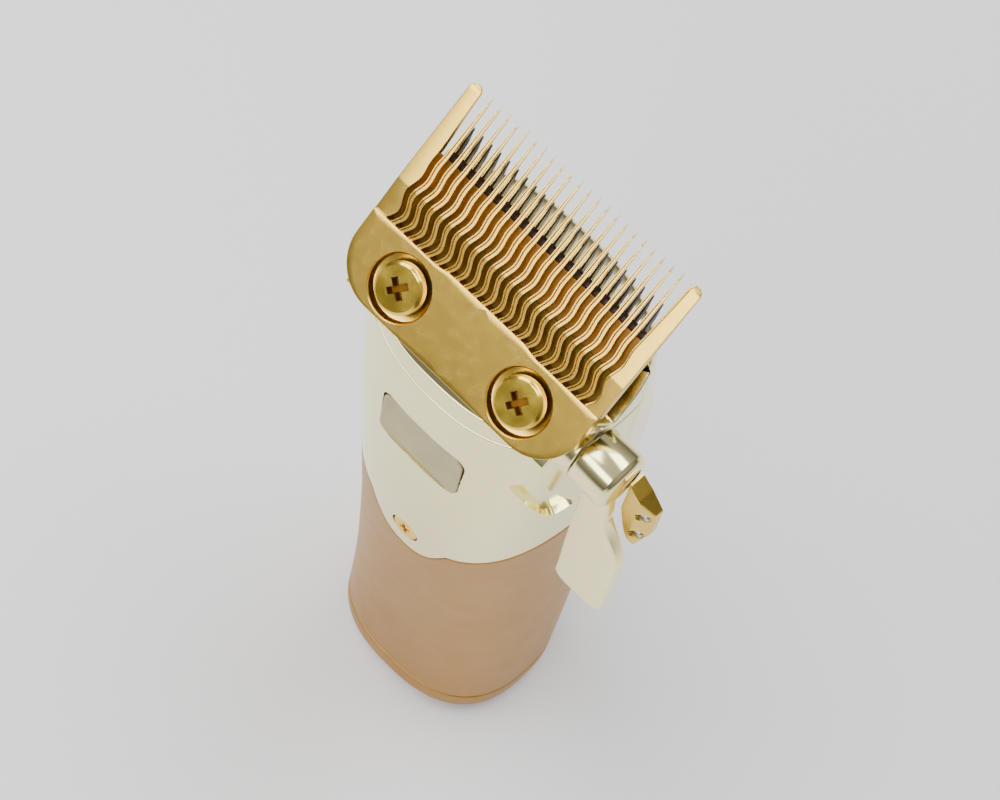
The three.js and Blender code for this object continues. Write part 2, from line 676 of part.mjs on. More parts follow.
// The polished lever: a round hub, a flange under it, a stem and a wide paddle.
function taperLever() {
  const hub = turned(
    [
      [0, HUB_START],
      [HUB_RADIUS - 0.4, HUB_START],
      [HUB_RADIUS, HUB_START + 0.4],
      [HUB_RADIUS, HUB_END - 0.6],
      [HUB_RADIUS - 0.6, HUB_END],
      [0, HUB_END],
    ],
    40,
  );
  const alongX = new THREE.Matrix4().makeRotationY(Math.PI / 2);
  const hubAcross = solid(skin(hub).applyMatrix4(alongX).translate(0, HUB_Y, HUB_Z));
  const stemLeft = HUB_START + 1.6;
  const outer = stemLeft + 0.6 + PADDLE_WIDTH;
  const arm = new THREE.Shape();
  arm.moveTo(HUB_START + 0.3, HUB_Z);
  arm.lineTo(HUB_START + 0.3, HUB_Z - HUB_RADIUS - 1.5);
  arm.quadraticCurveTo(stemLeft, HUB_Z - HUB_RADIUS - 2, stemLeft, HUB_Z - HUB_RADIUS - 5);
  arm.lineTo(stemLeft + 0.6, PADDLE_Z + 2);
  arm.quadraticCurveTo(stemLeft + 0.8, PADDLE_Z, stemLeft + 3, PADDLE_Z);
  arm.lineTo(outer - 1.2, PADDLE_Z);
  arm.quadraticCurveTo(outer, PADDLE_Z, outer, PADDLE_Z + 1.5);
  arm.lineTo(outer, SHOULDER_Z - 1.5);
  arm.quadraticCurveTo(outer - 0.3, SHOULDER_Z + 1, outer - 2.2, SHOULDER_Z + 3);
  arm.lineTo(stemLeft + STEM_WIDTH, SHOULDER_Z + 8);
  arm.lineTo(stemLeft + STEM_WIDTH, HUB_Z);
  const blade = panel(arm, LEVER_FRONT, LEVER_FRONT + PADDLE_THICKNESS, 5);
  const bore = rod("x", SHAFT_RADIUS + GAP, HUB_START - 1, HUB_END - 1.5, [HUB_Y, HUB_Z]);
  return cut(join(hubAcross, blade), bore);
}

// The shaft through the side of the head, with a crank pin at its inner end.
function leverShaft() {
  const centre = [HUB_Y, HUB_Z];
  const crankFace = FORK_X[1] + GAP;
  const journal = rod("x", SHAFT_RADIUS, SHAFT_BORE_START, HUB_END - 1.5 - GAP, centre);
  const neck = rod("x", CRANK_SHAFT_RADIUS, crankFace, SHAFT_BORE_START + 0.5, centre, 20);
  const pin = rod("x", CRANK_PIN_RADIUS, FORK_X[0] - 0.2, crankFace + 1.2, [crankV, crankW], 16);
  const halfway = [(crankV + hubV) / 2, (crankW + hubW) / 2];
  const web = rod("x", CRANK_PIN_RADIUS, crankFace, crankFace + 1.2, halfway, 16);
  return join(journal, neck, fromHead(join(pin, web)));
}

function shaftBushing() {
  const centre = [HUB_Y, HUB_Z];
  const sleeve = rod("x", BUSH_RADIUS, SHAFT_BORE_START + GAP, HUB_START - GAP, centre);
  return cut(sleeve, rod("x", SHAFT_RADIUS + RUN_FIT, SHAFT_BORE_START - 1, HUB_START + 1, centre));
}

const TAB_Y = LEVER_FRONT + PADDLE_THICKNESS + GAP;
const TAB_THICKNESS = 3;
const TAB_SCREW_RADIUS = 0.9;
const TAB_SCREWS = [
  [HUB_END + 4.2, HUB_Z - 7.2],
  [HUB_END + 4.2, HUB_Z - 13.2],
];

// The faceted tab beside the hub's outer end, held by two small screws.
function leverTab() {
  const left = HUB_END + GAP;
  const outline = polygon([
    [left, HUB_Z - 1],
    [left + 2.6, HUB_Z - 2.6],
    [left + 5.4, HUB_Z - 5.5],
    [left + 5.6, HUB_Z - 12.2],
    [left + 4.2, HUB_Z - 17],
    [left + 1.8, HUB_Z - 14],
    [left, HUB_Z - 9],
  ]);
  const body = panel(outline, TAB_Y, TAB_Y + TAB_THICKNESS);
  const slope = new THREE.BoxGeometry(12, 4, 30)
    .rotateZ(THREE.MathUtils.degToRad(30))
    .translate(left + 4, TAB_Y - 1.73, HUB_Z - 8);
  const holes = TAB_SCREWS.map((centre) =>
    rod("y", TAB_SCREW_RADIUS + GAP, TAB_Y - 3, TAB_Y + 2, centre, 12),
  );
  return cut(body, solid(slope), ...holes);
}

function detentSpring() {
  const [low, high] = [SLIDER_TOP + GAP, hubW - CRANK_SHAFT_RADIUS - SLIDE_FIT];
  const thick = 0.3;
  const outline = polygon([
    [hubV - 3, low],
    [hubV - 0.8, high - thick],
    [hubV + 0.8, high - thick],
    [hubV + 4, low],
    [hubV + 4, low + thick],
    [hubV + 1, high],
    [hubV - 1, high],
    [hubV - 3, low + thick],
  ]);
  const leaf = new THREE.ExtrudeGeometry(outline, { depth: 2, bevelEnabled: false });
  const turn = new THREE.Matrix4().makeBasis(
    new THREE.Vector3(0, 1, 0),
    new THREE.Vector3(0, 0, 1),
    new THREE.Vector3(1, 0, 0),
  );
  return solid(leaf.applyMatrix4(turn).translate(FORK_X[1] + 1.6, 0, 0));
}

// ---- Drive ---------------------------------------------------------------------------------

const MOUNT_BOSS = 3;
const MOUNT_THICKNESS = 2;
const MOTOR_SCREW_X = 7.5;
const SHAFT_Z = MOTOR_TOP + 1.5;
const CAM_Z = MOTOR_TOP + 4.5;

function motorCan() {
  const can = rod("z", MOTOR_RADIUS, MOTOR_Z, MOTOR_TOP, [0, MOTOR_Y], 36);
  const flats = [-1, 1].map((side) =>
    block(
      [-MOTOR_RADIUS - 1, side > 0 ? MOTOR_Y + 8.6 : MOTOR_Y - 20, MOTOR_Z + 3],
      [MOTOR_RADIUS + 1, side > 0 ? MOTOR_Y + 20 : MOTOR_Y - 8.6, MOTOR_TOP - 3],
    ),
  );
  const boss = rod("z", MOUNT_BOSS, MOTOR_TOP - 0.5, MOTOR_TOP + 1.2, [0, MOTOR_Y]);
  const screwHoles = [-1, 1].map((side) =>
    rod("z", 0.9, MOTOR_TOP - 4, MOTOR_TOP + 1, [side * MOTOR_SCREW_X, MOTOR_Y], 12),
  );
  return cut(join(cut(can, ...flats), boss), ...screwHoles);
}

function motorMount() {
  const bottom = MOTOR_TOP + GAP;
  const outline = roundedRectangle(34, 20, 5, 0, MOTOR_Y - 1);
  const hole = rod("z", MOUNT_BOSS + GAP, bottom - 1, bottom + MOUNT_THICKNESS + 1, [0, MOTOR_Y]);
  const screwHoles = [-1, 1].map((side) =>
    rod("z", 1.2, bottom - 1, bottom + MOUNT_THICKNESS + 1, [side * MOTOR_SCREW_X, MOTOR_Y], 12),
  );
  return cut(plate(outline, bottom, bottom + MOUNT_THICKNESS), hole, ...screwHoles);
}

// The cam on the motor's shaft, with its post and ball off centre by the throw.
function driveCam() {
  const disc = rod("z", 4.6, CAM_Z, CAM_Z + 3.5, [0, MOTOR_Y], 28);
  const post = rod("z", 0.9, CAM_Z + 3, CAM_BALL_Z, [0, MOTOR_Y - CAM_THROW], 12);
  const ball = new THREE.SphereGeometry(CAM_BALL_RADIUS, 16, 10);
  ball.translate(0, MOTOR_Y - CAM_THROW, CAM_BALL_Z);
  const bore = rod("z", 1 + GAP / 2, CAM_Z - 1, CAM_Z + 2.5, [0, MOTOR_Y], 16);
  return cut(join(disc, post, solid(ball)), bore);
}

const motorShaft = () => rod("z", 1, SHAFT_Z, CAM_Z + 2.2, [0, MOTOR_Y], 16);

// ---- Power ---------------------------------------------------------------------------------

const SOCKET_COLLAR_TOP = 5;
const CELL_TOP = CELL_Z + CELL_LENGTH;
const TRAY_HALF_WIDTH = 12.5;
const BOARD_TOP = SWITCH_Z + 14;

function batteryCell() {
  return turned(
    [
      [0, CELL_Z],
      [CELL_RADIUS - 0.5, CELL_Z],
      [CELL_RADIUS, CELL_Z + 0.5],
      [CELL_RADIUS, CELL_TOP - 1.8],
      [CELL_RADIUS - 0.6, CELL_TOP - 1.2],
      [3, CELL_TOP - 1.2],
      [3, CELL_TOP],
      [0, CELL_TOP],
    ],
    28,
  ).translate([0, CELL_Y, 0]);
}

function batteryTray() {
  const body = block(
    [-TRAY_HALF_WIDTH, CELL_Y + 1, CELL_Z - 1],
    [TRAY_HALF_WIDTH, BOARD_Y - GAP, CELL_TOP + 1],
  );
  return cut(body, rod("z", CELL_RADIUS + GAP, CELL_Z - 3, CELL_TOP + 3, [0, CELL_Y], 36));
}

const batteryContact = (from) => block([-3.5, CELL_Y - 3.5, from], [3.5, CELL_Y + 3.5, from + 0.4]);

function circuitBoard() {
  const low = CELL_Z - 1;
  return block([-11, BOARD_Y, low], [11, BOARD_Y + BOARD_THICKNESS, BOARD_TOP]);
}

function boardPart(halfWidth, depth, lowZ, highZ) {
  const face = BOARD_Y + BOARD_THICKNESS + GAP;
  return block([-halfWidth, face, lowZ], [halfWidth, face + depth, highZ]);
}

const SWITCH_BODY_DEPTH = 3.6;
const switchBody = () => boardPart(4, SWITCH_BODY_DEPTH, SWITCH_Z - 8, SWITCH_Z + 8);

function switchBezel() {
  const outline = roundedRectangle(BEZEL_WIDTH, BEZEL_HEIGHT, 2.8, 0, SWITCH_Z);
  const slot = block(
    [-SLOT_HALF_WIDTH, 0, SWITCH_Z - SLOT_HALF_HEIGHT],
    [SLOT_HALF_WIDTH, 60, SWITCH_Z + SLOT_HALF_HEIGHT],
  );
  return cut(panel(outline, BEZEL_SEAT + GAP, GRIP_HALF_DEPTH + 0.5, 4), slot);
}

// The thumb slide: a ribbed button on a stem that reaches the switch.
function powerSwitch() {
  const face = GRIP_HALF_DEPTH + 0.5 + SLIDE_FIT;
  const middle = SWITCH_Z - SWITCH_TRAVEL / 2;
  const button = panel(roundedRectangle(9, 11, 2, 0, middle), face, face + 2.2, 4);
  const ribs = [-3, -1.5, 0, 1.5, 3].map((step) =>
    block([-3.4, face + 1.8, middle + step - 0.35], [3.4, face + 2.8, middle + step + 0.35]),
  );
  const stemStart = BOARD_Y + BOARD_THICKNESS + GAP + SWITCH_BODY_DEPTH + SLIDE_FIT;
  const stem = block(
    [-1.5, stemStart, middle - STEM_HALF_HEIGHT],
    [1.5, face + 0.5, middle + STEM_HALF_HEIGHT],
  );
  return join(button, ...ribs, stem);
}

const statusLamp = () => boardPart(1.2, 1.2, LAMP_Z - 1.2, LAMP_Z + 1.2);
const statusLens = () =>
  rod("y", LAMP_RADIUS, BOARD_Y + BOARD_THICKNESS + 2, GRIP_HALF_DEPTH + 0.2, [0, LAMP_Z], 16);

// The charging socket's barrel, with a blind bore from below and its pin as a separate piece.
function chargingSocket() {
  const bottom = SOCKET_COLLAR_TOP - 0.9;
  const top = CELL_Z - 1 - GAP;
  const barrel = rod("z", SOCKET_RADIUS - GAP, bottom, top, [0, SOCKET_Y]);
  return cut(barrel, rod("z", 2.75, bottom - 1, top - 1.5, [0, SOCKET_Y]));
}

const socketPin = () => rod("z", 0.9, SOCKET_COLLAR_TOP, CELL_Z - 3.1, [0, SOCKET_Y], 12);

// A lead from the board to the motor's lower end, on one side of the cell.
function motorLead(side) {
  const route = new THREE.CatmullRomCurve3([
    new THREE.Vector3(side * 9.6, BOARD_Y + BOARD_THICKNESS + 1.2, BOARD_TOP - 10),
    new THREE.Vector3(side * 12.6, BOARD_Y + BOARD_THICKNESS + 1, BOARD_TOP - 5),
    new THREE.Vector3(side * 13.6, BOARD_Y - 1, BOARD_TOP - 1),
    new THREE.Vector3(side * 12.8, MOTOR_Y + 2, MOTOR_Z + 2),
    new THREE.Vector3(side * 12.4, MOTOR_Y, MOTOR_Z + 5),
  ]);
  const section = new THREE.Shape().absarc(0, 0, 0.7, 0, Math.PI * 2);
  return solid(new THREE.ExtrudeGeometry(section, { steps: 12, extrudePath: route, curveSegments: 4 }));
}

// ---- Assembly ------------------------------------------------------------------------------

const moved = (x, y, z) => new THREE.Matrix4().makeTranslation(x, y, z);
const clipper = new THREE.Group();
clipper.add(head);

// Blades and carriage, in the blade frame
place("fixed_blade", fixedBlade(), SATIN_GOLD, head);
place("cutter_blade", cutterBlade(), CUTTER_BLACK, head);
place("cutter_yoke", cutterYoke(), BLACK, head);
place("depth_slider", depthSlider(), STEEL, head);
for (const [side, word] of [
  [-1, "left"],
  [1, "right"],
]) {
  const screw = crossScrew(BLADE_SCREW_HEAD, 1.6, BLADE_SCREW_SHANK, 5.6, 24);
  const seat = moved(side * BLADE_SCREW_X, BLADE_SCREW_V, GAP - COUNTERBORE_DEPTH + 1.6);
  place("blade_screw_" + word, screw, BRIGHT_GOLD, head, seat);
  place("cutter_rivet_" + word, cutterRivet(), STEEL, head, moved(side * RIVETS[1], RIVET_V, 0));
  place("yoke_spring_" + word, yokeSpring(side), STEEL, head);
  place("guide_rail_" + word, guideRail(side), BLACK, head);
}
place("detent_spring", detentSpring(), STEEL, head);

// Covers
place("head_frame", headFrame(), CHAMPAGNE, clipper);
place("front_housing", frontHousing(), CHAMPAGNE, clipper);
place("rear_housing", rearHousing(), CHAMPAGNE, clipper);
place("grip_body", gripBody(), COPPER, clipper);
place("base_cap", baseCap(), COPPER, clipper);
place("rating_plate", ratingPlate(), OLIVE, clipper);

// Lever
place("taper_lever", taperLever(), CHAMPAGNE, clipper);
place("lever_tab", leverTab(), SATIN_GOLD, clipper);
place("lever_shaft", leverShaft(), STEEL, clipper);
place("shaft_bushing", shaftBushing(), BRIGHT_GOLD, clipper);

// Drive
place("motor", motorCan(), STEEL, clipper);
place("motor_mount", motorMount(), BLACK, clipper);
place("motor_shaft", motorShaft(), STEEL, clipper);
place("drive_cam", driveCam(), BLACK, clipper);

// Power
place("battery_cell", batteryCell(), WRAP, clipper);
place("battery_tray", batteryTray(), BLACK, clipper);
place("battery_contact_lower", batteryContact(CELL_Z - 0.7), STEEL, clipper);
place("battery_contact_upper", batteryContact(CELL_TOP + GAP), STEEL, clipper);
place("circuit_board", circuitBoard(), GREEN, clipper);
place("switch_body", switchBody(), BLACK, clipper);
place("switch_bezel", switchBezel(), BLACK, clipper);
place("power_switch", powerSwitch(), CHAMPAGNE, clipper);
place("status_lamp", statusLamp(), LENS, clipper);
place("status_lens", statusLens(), LENS, clipper);
place("charging_socket", chargingSocket(), BLACK, clipper);
place("socket_pin", socketPin(), STEEL, clipper);
place("motor_lead_left", motorLead(-1), BLACK, clipper);
place("motor_lead_right", motorLead(1), RED, clipper);

// Fasteners, each turned from the Z axis to point into its seat
const toRear = new THREE.Matrix4().makeRotationX(Math.PI / 2);
const toFront = new THREE.Matrix4().makeRotationX(-Math.PI / 2);
const upward = new THREE.Matrix4().makeRotationX(Math.PI);
const at = (x, y, z, turn) => moved(x, y, z).multiply(turn);

const housingSeat = at(0, frontY(TONGUE_Z) + 1.4 - GAP - 1.2, TONGUE_Z, toRear);
place("housing_screw", crossScrew(HOUSING_SCREW_HEAD, 1.2, 1.1, 6), BRIGHT_GOLD, clipper, housingSeat);
for (const [side, word] of [
  [-1, "left"],
  [1, "right"],
]) {
  const rearSeat = at(side * REAR_SCREW_X, REAR_SCREW_SEAT + GAP + 1.2, REAR_SCREW_Z, toFront);
  place("rear_screw_" + word, crossScrew(REAR_SCREW_HEAD, 1.2, 1, 6), BRIGHT_GOLD, clipper, rearSeat);
  const baseSeat = at(side * BASE_SCREW_X, 0, 0.1, upward);
  place("base_screw_" + word, crossScrew(BASE_SCREW_HEAD, 1.2, 0.9, 6), STEEL, clipper, baseSeat);
  const motorSeat = moved(side * MOTOR_SCREW_X, MOTOR_Y, MOTOR_TOP + MOUNT_THICKNESS + 2 * GAP + 1);
  place("motor_screw_" + word, crossScrew(2, 1, 0.7, 5), STEEL, clipper, motorSeat);
}
TAB_SCREWS.forEach(([x, z], index) => {
  const seat = at(x, TAB_Y + 0.6, z, toRear);
  const name = index ? "tab_screw_lower" : "tab_screw_upper";
  place(name, crossScrew(TAB_SCREW_RADIUS, 0.6, 0.4, 1, 12), STEEL, clipper, seat);
});

export default clipper;
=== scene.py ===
"""Cordless hair clipper with a taper lever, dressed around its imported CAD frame.

The file is laid out as an add-on and run as a script. Lengths in the shape code are
millimetres in the frame's own axes: +Z up the body, -Y towards the blade, +X towards the
lever. `place` turns them into metres.
"""

import json
import math

import bmesh
import bpy
import numpy as np
from mathutils import Matrix, Vector


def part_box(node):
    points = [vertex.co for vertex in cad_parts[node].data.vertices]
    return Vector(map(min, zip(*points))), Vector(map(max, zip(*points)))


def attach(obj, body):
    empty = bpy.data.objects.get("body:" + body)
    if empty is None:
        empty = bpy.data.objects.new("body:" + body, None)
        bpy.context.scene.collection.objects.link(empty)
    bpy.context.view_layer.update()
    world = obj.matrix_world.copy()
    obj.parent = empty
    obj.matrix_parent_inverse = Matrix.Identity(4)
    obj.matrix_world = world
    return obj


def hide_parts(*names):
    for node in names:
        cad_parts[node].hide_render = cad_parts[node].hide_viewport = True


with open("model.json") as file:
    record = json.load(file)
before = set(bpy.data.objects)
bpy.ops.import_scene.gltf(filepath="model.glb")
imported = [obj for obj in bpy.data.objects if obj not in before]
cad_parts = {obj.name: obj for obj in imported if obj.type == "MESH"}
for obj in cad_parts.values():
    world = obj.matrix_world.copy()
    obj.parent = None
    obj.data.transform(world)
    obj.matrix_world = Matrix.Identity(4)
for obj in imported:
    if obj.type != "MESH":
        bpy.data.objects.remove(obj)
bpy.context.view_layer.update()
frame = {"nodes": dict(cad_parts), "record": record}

bl_info = {
    "name": "Hair clipper",
    "version": (1, 0, 0),
    "blender": (4, 5, 0),
    "location": "View3D > Sidebar > Clipper",
    "description": "Builds the visible pieces of a cordless hair clipper with a taper lever",
    "category": "Add Mesh",
}

MM = 0.001
GAP = 0.3  # between two pieces that meet


# ---- Sizes read from the frame ---------------------------------------------------------------


def node_box(node):
    """A CAD node's lowest and highest corner, in millimetres."""
    low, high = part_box(node)
    return np.array(low) / MM, np.array(high) / MM


def node_centre(node):
    """The middle of a CAD node's box, in millimetres."""
    low, high = node_box(node)
    return (low + high) / 2


# ---- Grids and meshes ------------------------------------------------------------------------


def smooth(value, low, high):
    """Smoothstep: t t (3 - 2 t), with t the clamped share of the way from low to high."""
    t = np.clip((value - low) / (high - low), 0.0, 1.0)
    return t * t * (3.0 - 2.0 * t)


def power(value, exponent):
    """sign(value) |value|^exponent, which squares off a circle's sine and cosine."""
    return np.sign(value) * np.abs(value) ** exponent


def grid_faces(rows, columns, start=0, wrap_rows=False, wrap_columns=True):
    """Quads of a grid whose point (i, j) has index start + i columns + j."""
    i = np.arange(rows if wrap_rows else rows - 1)
    j = np.arange(columns if wrap_columns else columns - 1)
    i, j = np.meshgrid(i, j, indexing="ij")
    below, right = (i + 1) % rows, (j + 1) % columns
    corners = (i * columns + j, i * columns + right, below * columns + right, below * columns + j)
    return start + np.stack([c.ravel() for c in corners], axis=1)


def gather(parts):
    """Joins (points, faces) pairs into one pair, with each part's faces counted on from the last."""
    points, faces, start = [], [], 0
    for part_points, part_faces in parts:
        points.append(part_points.reshape(-1, 3))
        faces.append(part_faces + start)
        start += len(points[-1])
    return np.concatenate(points), np.concatenate(faces)


def tube(grid, cap=True):
    """A stack of closed loops as a solid. With cap, each end closes on the middle of its loop."""
    if cap:
        first = np.broadcast_to(grid[:1].mean(axis=1, keepdims=True), grid[:1].shape)
        last = np.broadcast_to(grid[-1:].mean(axis=1, keepdims=True), grid[-1:].shape)
        grid = np.concatenate([first, grid, last])
    return grid, grid_faces(*grid.shape[:2], wrap_rows=not cap)


def sheet(outer, inner, keep=None, wrap=False):
    """A wall between two grids of one shape. Cells that keep marks False are left out, and each
    edge between a kept cell and a missing one gets a quad from the outer grid to the inner."""
    rows, columns = outer.shape[:2]
    wide = columns if wrap else columns - 1
    if keep is None:
        keep = np.ones((rows - 1, wide), bool)
    total = rows * columns
    index = np.arange(total).reshape(rows, columns)
    quads = grid_faces(rows, columns, wrap_columns=wrap)[keep.ravel()]
    faces = [quads, quads[:, ::-1] + total]
    padded = np.pad(keep, ((1, 1), (0, 0)))
    i, j = np.nonzero(padded[1:] != padded[:-1])
    a, b = index[i, j], index[i, (j + 1) % columns]
    faces.append(np.stack([a, b, b + total, a + total], axis=1))
    if wrap:
        i, j = np.nonzero(keep != np.roll(keep, 1, axis=1))
    else:
        sides = np.pad(keep, ((0, 0), (1, 1)))
        i, j = np.nonzero(sides[:, 1:] != sides[:, :-1])
    a, b = index[i, j], index[i + 1, j]
    faces.append(np.stack([a, b, b + total, a + total], axis=1))
    return np.stack([outer, inner]), np.concatenate(faces)


def lathe(profile, centre, axis, sides=72):
    """Turns a profile of (radius, place along the axis) about an axis through centre."""
    angle = np.arange(sides) * 2.0 * np.pi / sides
    radius, along = np.array(profile, float).T
    first, second = {"x": (1, 2), "y": (2, 0), "z": (0, 1)}[axis]
    grid = np.zeros((len(radius), sides, 3)) + np.array(centre, float)
    grid[..., first] += radius[:, None] * np.cos(angle)
    grid[..., second] += radius[:, None] * np.sin(angle)
    grid[..., "xyz".index(axis)] += along[:, None]
    return tube(grid, cap=False) if profile[0] == profile[-1] else tube(grid)


def loft(stations, middle, half, square, sides=40, along=2):
    """A bar of superellipse sections: each has its middle and half sizes, and square is the
    exponent, 2 for an ellipse and more for a rounded rectangle."""
    angle = (np.arange(sides) + 0.5) * 2.0 * np.pi / sides
    first, second = [axis for axis in range(3) if axis != along]
    grid = np.zeros((len(stations), sides, 3))
    grid[..., along] = np.asarray(stations)[:, None]
    shape = (power(np.cos(angle), 2.0 / square), power(np.sin(angle), 2.0 / square))
    for axis, centre, size, unit in zip((first, second), middle, half, shape):
        grid[..., axis] = np.broadcast_to(centre, len(stations))[:, None]
        grid[..., axis] += np.broadcast_to(size, len(stations))[:, None] * unit
    return tube(grid)


def clustered(low, high, step, edge, steps=5):
    """Values from low to high, a step apart, with a quarter circle of edge radius rolled out at
    each end: low + r (1 - cos a). Also gives how far each lies under the surface: r (1 - sin a)."""
    angle = np.linspace(0.0, np.pi / 2, steps)
    rise, drop = edge * (1.0 - np.cos(angle)), edge * (1.0 - np.sin(angle))
    count = max(2, int(round((high - low - 2 * edge) / step)) + 1)
    middle = np.linspace(low + edge, high - edge, count)[1:-1]
    values = np.concatenate([low + rise, middle, high - rise[::-1]])
    return values, np.concatenate([drop, np.zeros(len(middle)), drop[::-1]])


def place(name, parts, body, finish, nodes=(), sharp=32.0, floor_plane=None):
    """Puts one or more (points, faces) pairs into a mesh object that rides on a CAD body."""
    points, faces = gather(parts)
    mesh = bpy.data.meshes.new(name)
    mesh.vertices.add(len(points))
    mesh.vertices.foreach_set("co", (points * MM).ravel())
    mesh.loops.add(faces.size)
    mesh.loops.foreach_set("vertex_index", faces.ravel().astype(np.int32))
    mesh.polygons.add(len(faces))
    mesh.polygons.foreach_set("loop_start", np.arange(len(faces), dtype=np.int32) * 4)
    mesh.update(calc_edges=True)
    work = bmesh.new()
    work.from_mesh(mesh)
    bmesh.ops.remove_doubles(work, verts=work.verts, dist=2e-7)
    if floor_plane is not None:
        flat = [f for f in work.faces if all(abs(v.co[floor_plane]) < 1e-7 for v in f.verts)]
        bmesh.ops.delete(work, geom=flat, context="FACES")
    bmesh.ops.dissolve_degenerate(work, edges=work.edges, dist=1e-8)
    loose = [v for v in work.verts if not v.link_faces]
    bmesh.ops.delete(work, geom=loose, context="VERTS")
    bmesh.ops.recalc_face_normals(work, faces=work.faces)
    work.to_mesh(mesh)
    work.free()
    mesh.shade_smooth()
    mesh.set_sharp_from_angle(angle=math.radians(sharp))
    piece = bpy.data.objects.new(name, mesh)
    bpy.context.scene.collection.objects.link(piece)
    mesh.materials.append(finish)
    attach(piece, body)
    if nodes:
        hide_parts(*nodes)
    return piece


# ---- The body's form -------------------------------------------------------------------------

SPLIT_Y = -6.0
SQUARE = 2.5
WALL = 2.2
ROOF_Z = 151.0
BASE_TOP = 8.0
BASE_ROUND = 5.0
RIM_RADIUS = 42.0
RIM_CENTRE_Z = 175.0
REAR_JOINT_Z = float(node_box("rear_housing")[0][2])
SHIELD_CENTRE_Z = 107.5
SHIELD_HALF_WIDTH = 23.5
SHIELD_DROP = 28.5
LOBE_DROP = 6.5
GROOVE_SIZE = (8.6, 2.7, 1.4)  # half length, half width and corner of the groove by the lever
GROOVE_TURN = -58.0
GROOVE_Z = 116.4
GROOVE_SHIFT = 22.2  # its middle's distance round the skin from the front
REAR_SCREW_SINK = 0.8  # how far the rear screws sit under their frame nodes' heads
LOBE_HALF_WIDTH = 8.8


def front_y(z):
    return -17.5 - 8.8 * smooth(z, 10.0, 118.0)


def rear_y(z):
    return 17.5 - 15.8 * smooth(z, 95.0, 164.6)


def half_width(z):
    return 19.8 + 3.5 * smooth(z, 60.0, 135.5)


def section(z, inset=0.0):
    """Half width, half depth and middle y of the body at a height, drawn in by an inset. Below
    the base's round edge the section also shrinks by r - sqrt(r r - (r - z)^2)."""
    low = np.clip(BASE_ROUND - z, 0.0, BASE_ROUND)
    shrink = inset + BASE_ROUND - np.sqrt(BASE_ROUND**2 - low**2)
    front, rear = front_y(z), rear_y(z)
    return half_width(z) - shrink, (rear - front) / 2 - shrink, (rear + front) / 2


class Skin:
    """A stretch of the body's side. A place on it is a share, 0 to 1 of the way round, and a
    height. The ends lie on the plane y = end, or meet if end is None."""

    def __init__(self, side, end=None):
        self.side = side
        self.end = end

    def angle(self, share, z):
        """The section's angle: -90 degrees faces the blade and 90 degrees the back."""
        if self.end is None:
            return 2.0 * np.pi * share - np.pi / 2 * self.side
        _, depth, middle = section(z)
        reach = np.arcsin(power(np.clip((self.end - middle) / depth, -1.0, 1.0), SQUARE / 2))
        if self.side > 0:
            return reach + (np.pi - 2.0 * reach) * share
        return -np.pi - reach + (np.pi + 2.0 * reach) * share

    def point(self, share, z, inset=0.0):
        """x = a c^(4/5) and y = m + b s^(4/5), for the cosine c and sine s of the angle."""
        share, z = np.broadcast_arrays(share, z)
        width, depth, middle = section(z, inset)
        angle = self.angle(share, z)
        x = width * power(np.cos(angle), 2.0 / SQUARE)
        y = middle + depth * power(np.sin(angle), 2.0 / SQUARE)
        return np.stack([x, y, z], axis=-1)

    def normal(self, share, z):
        """Outward, from the cross product of the steps along the share and up."""
        across = self.point(share + 1e-5, z) - self.point(share - 1e-5, z)
        up = self.point(share, z + 0.05) - self.point(share, z - 0.05)
        normal = np.cross(across, up)
        return normal / np.linalg.norm(normal, axis=-1, keepdims=True)

    def arc(self, z, middle=0.5):
        """Shares and their signed distance round the section from the middle share, at a height."""
        share = np.linspace(0.0, 1.0, 4001)
        points = self.point(share, np.full_like(share, z))
        length = np.concatenate([[0.0], np.cumsum(np.linalg.norm(np.diff(points, axis=0), axis=1))])
        return share, length - np.interp(middle, share, length)

    def columns(self, z, spacing, edge):
        """Shares spaced by a step that may vary with the distance from the middle."""
        share, arc = self.arc(z)
        tight = np.concatenate([[0.0], np.cumsum(np.diff(arc) / spacing((arc[1:] + arc[:-1]) / 2))])
        if edge == 0.0:
            even = np.linspace(0.0, tight[-1], int(tight[-1]) + 1)[:-1]
            return np.interp(even, tight, share), np.zeros(len(even))
        low, high = np.interp([edge, arc[-1] - arc[0] - edge], arc - arc[0], tight)
        even = np.interp(np.linspace(low, high, int(high - low) + 2)[1:-1], tight, arc)
        ends, drop = clustered(arc[0], arc[-1], 1e9, edge)
        half = len(ends) // 2
        places = np.concatenate([ends[:half], even, ends[half:]])
        return np.interp(places, arc, share), np.concatenate([drop[:half], 0 * even, drop[half:]])

    def border(self, share, rule, start, inset=0.0):
        """The height where the skin meets a border rule z = f(x, y), by repeated trial."""
        z = np.full_like(share, start)
        for _ in range(30):
            x, y, _ = np.moveaxis(self.point(share, z, inset), -1, 0)
            z = 0.5 * z + 0.5 * rule(x, y)
        return z


def circle(radius):
    """Signed distance to a circle."""
    return lambda s, t: np.hypot(s, t) - radius


def rounded_box(half_s, half_t, radius):
    """Signed distance to a rectangle with round corners."""

    def distance(s, t):
        s, t = np.abs(s) - half_s + radius, np.abs(t) - half_t + radius
        outside = np.hypot(np.maximum(s, 0.0), np.maximum(t, 0.0))
        return outside + np.minimum(np.maximum(s, t), 0.0) - radius

    return distance


def soft_loop(turn, half_x, half_z, corner):
    """A rectangle with round corners as x and z, for angles once round. Nine times the cosine,
    cut off at 1, gives the straight sides, and the cosine itself gives the corners."""
    x = np.clip(np.cos(turn) * 9, -1, 1) * (half_x - corner) + corner * np.cos(turn)
    z = np.clip(np.sin(turn) * 9, -1, 1) * (half_z - corner) + corner * np.sin(turn)
    return x, z


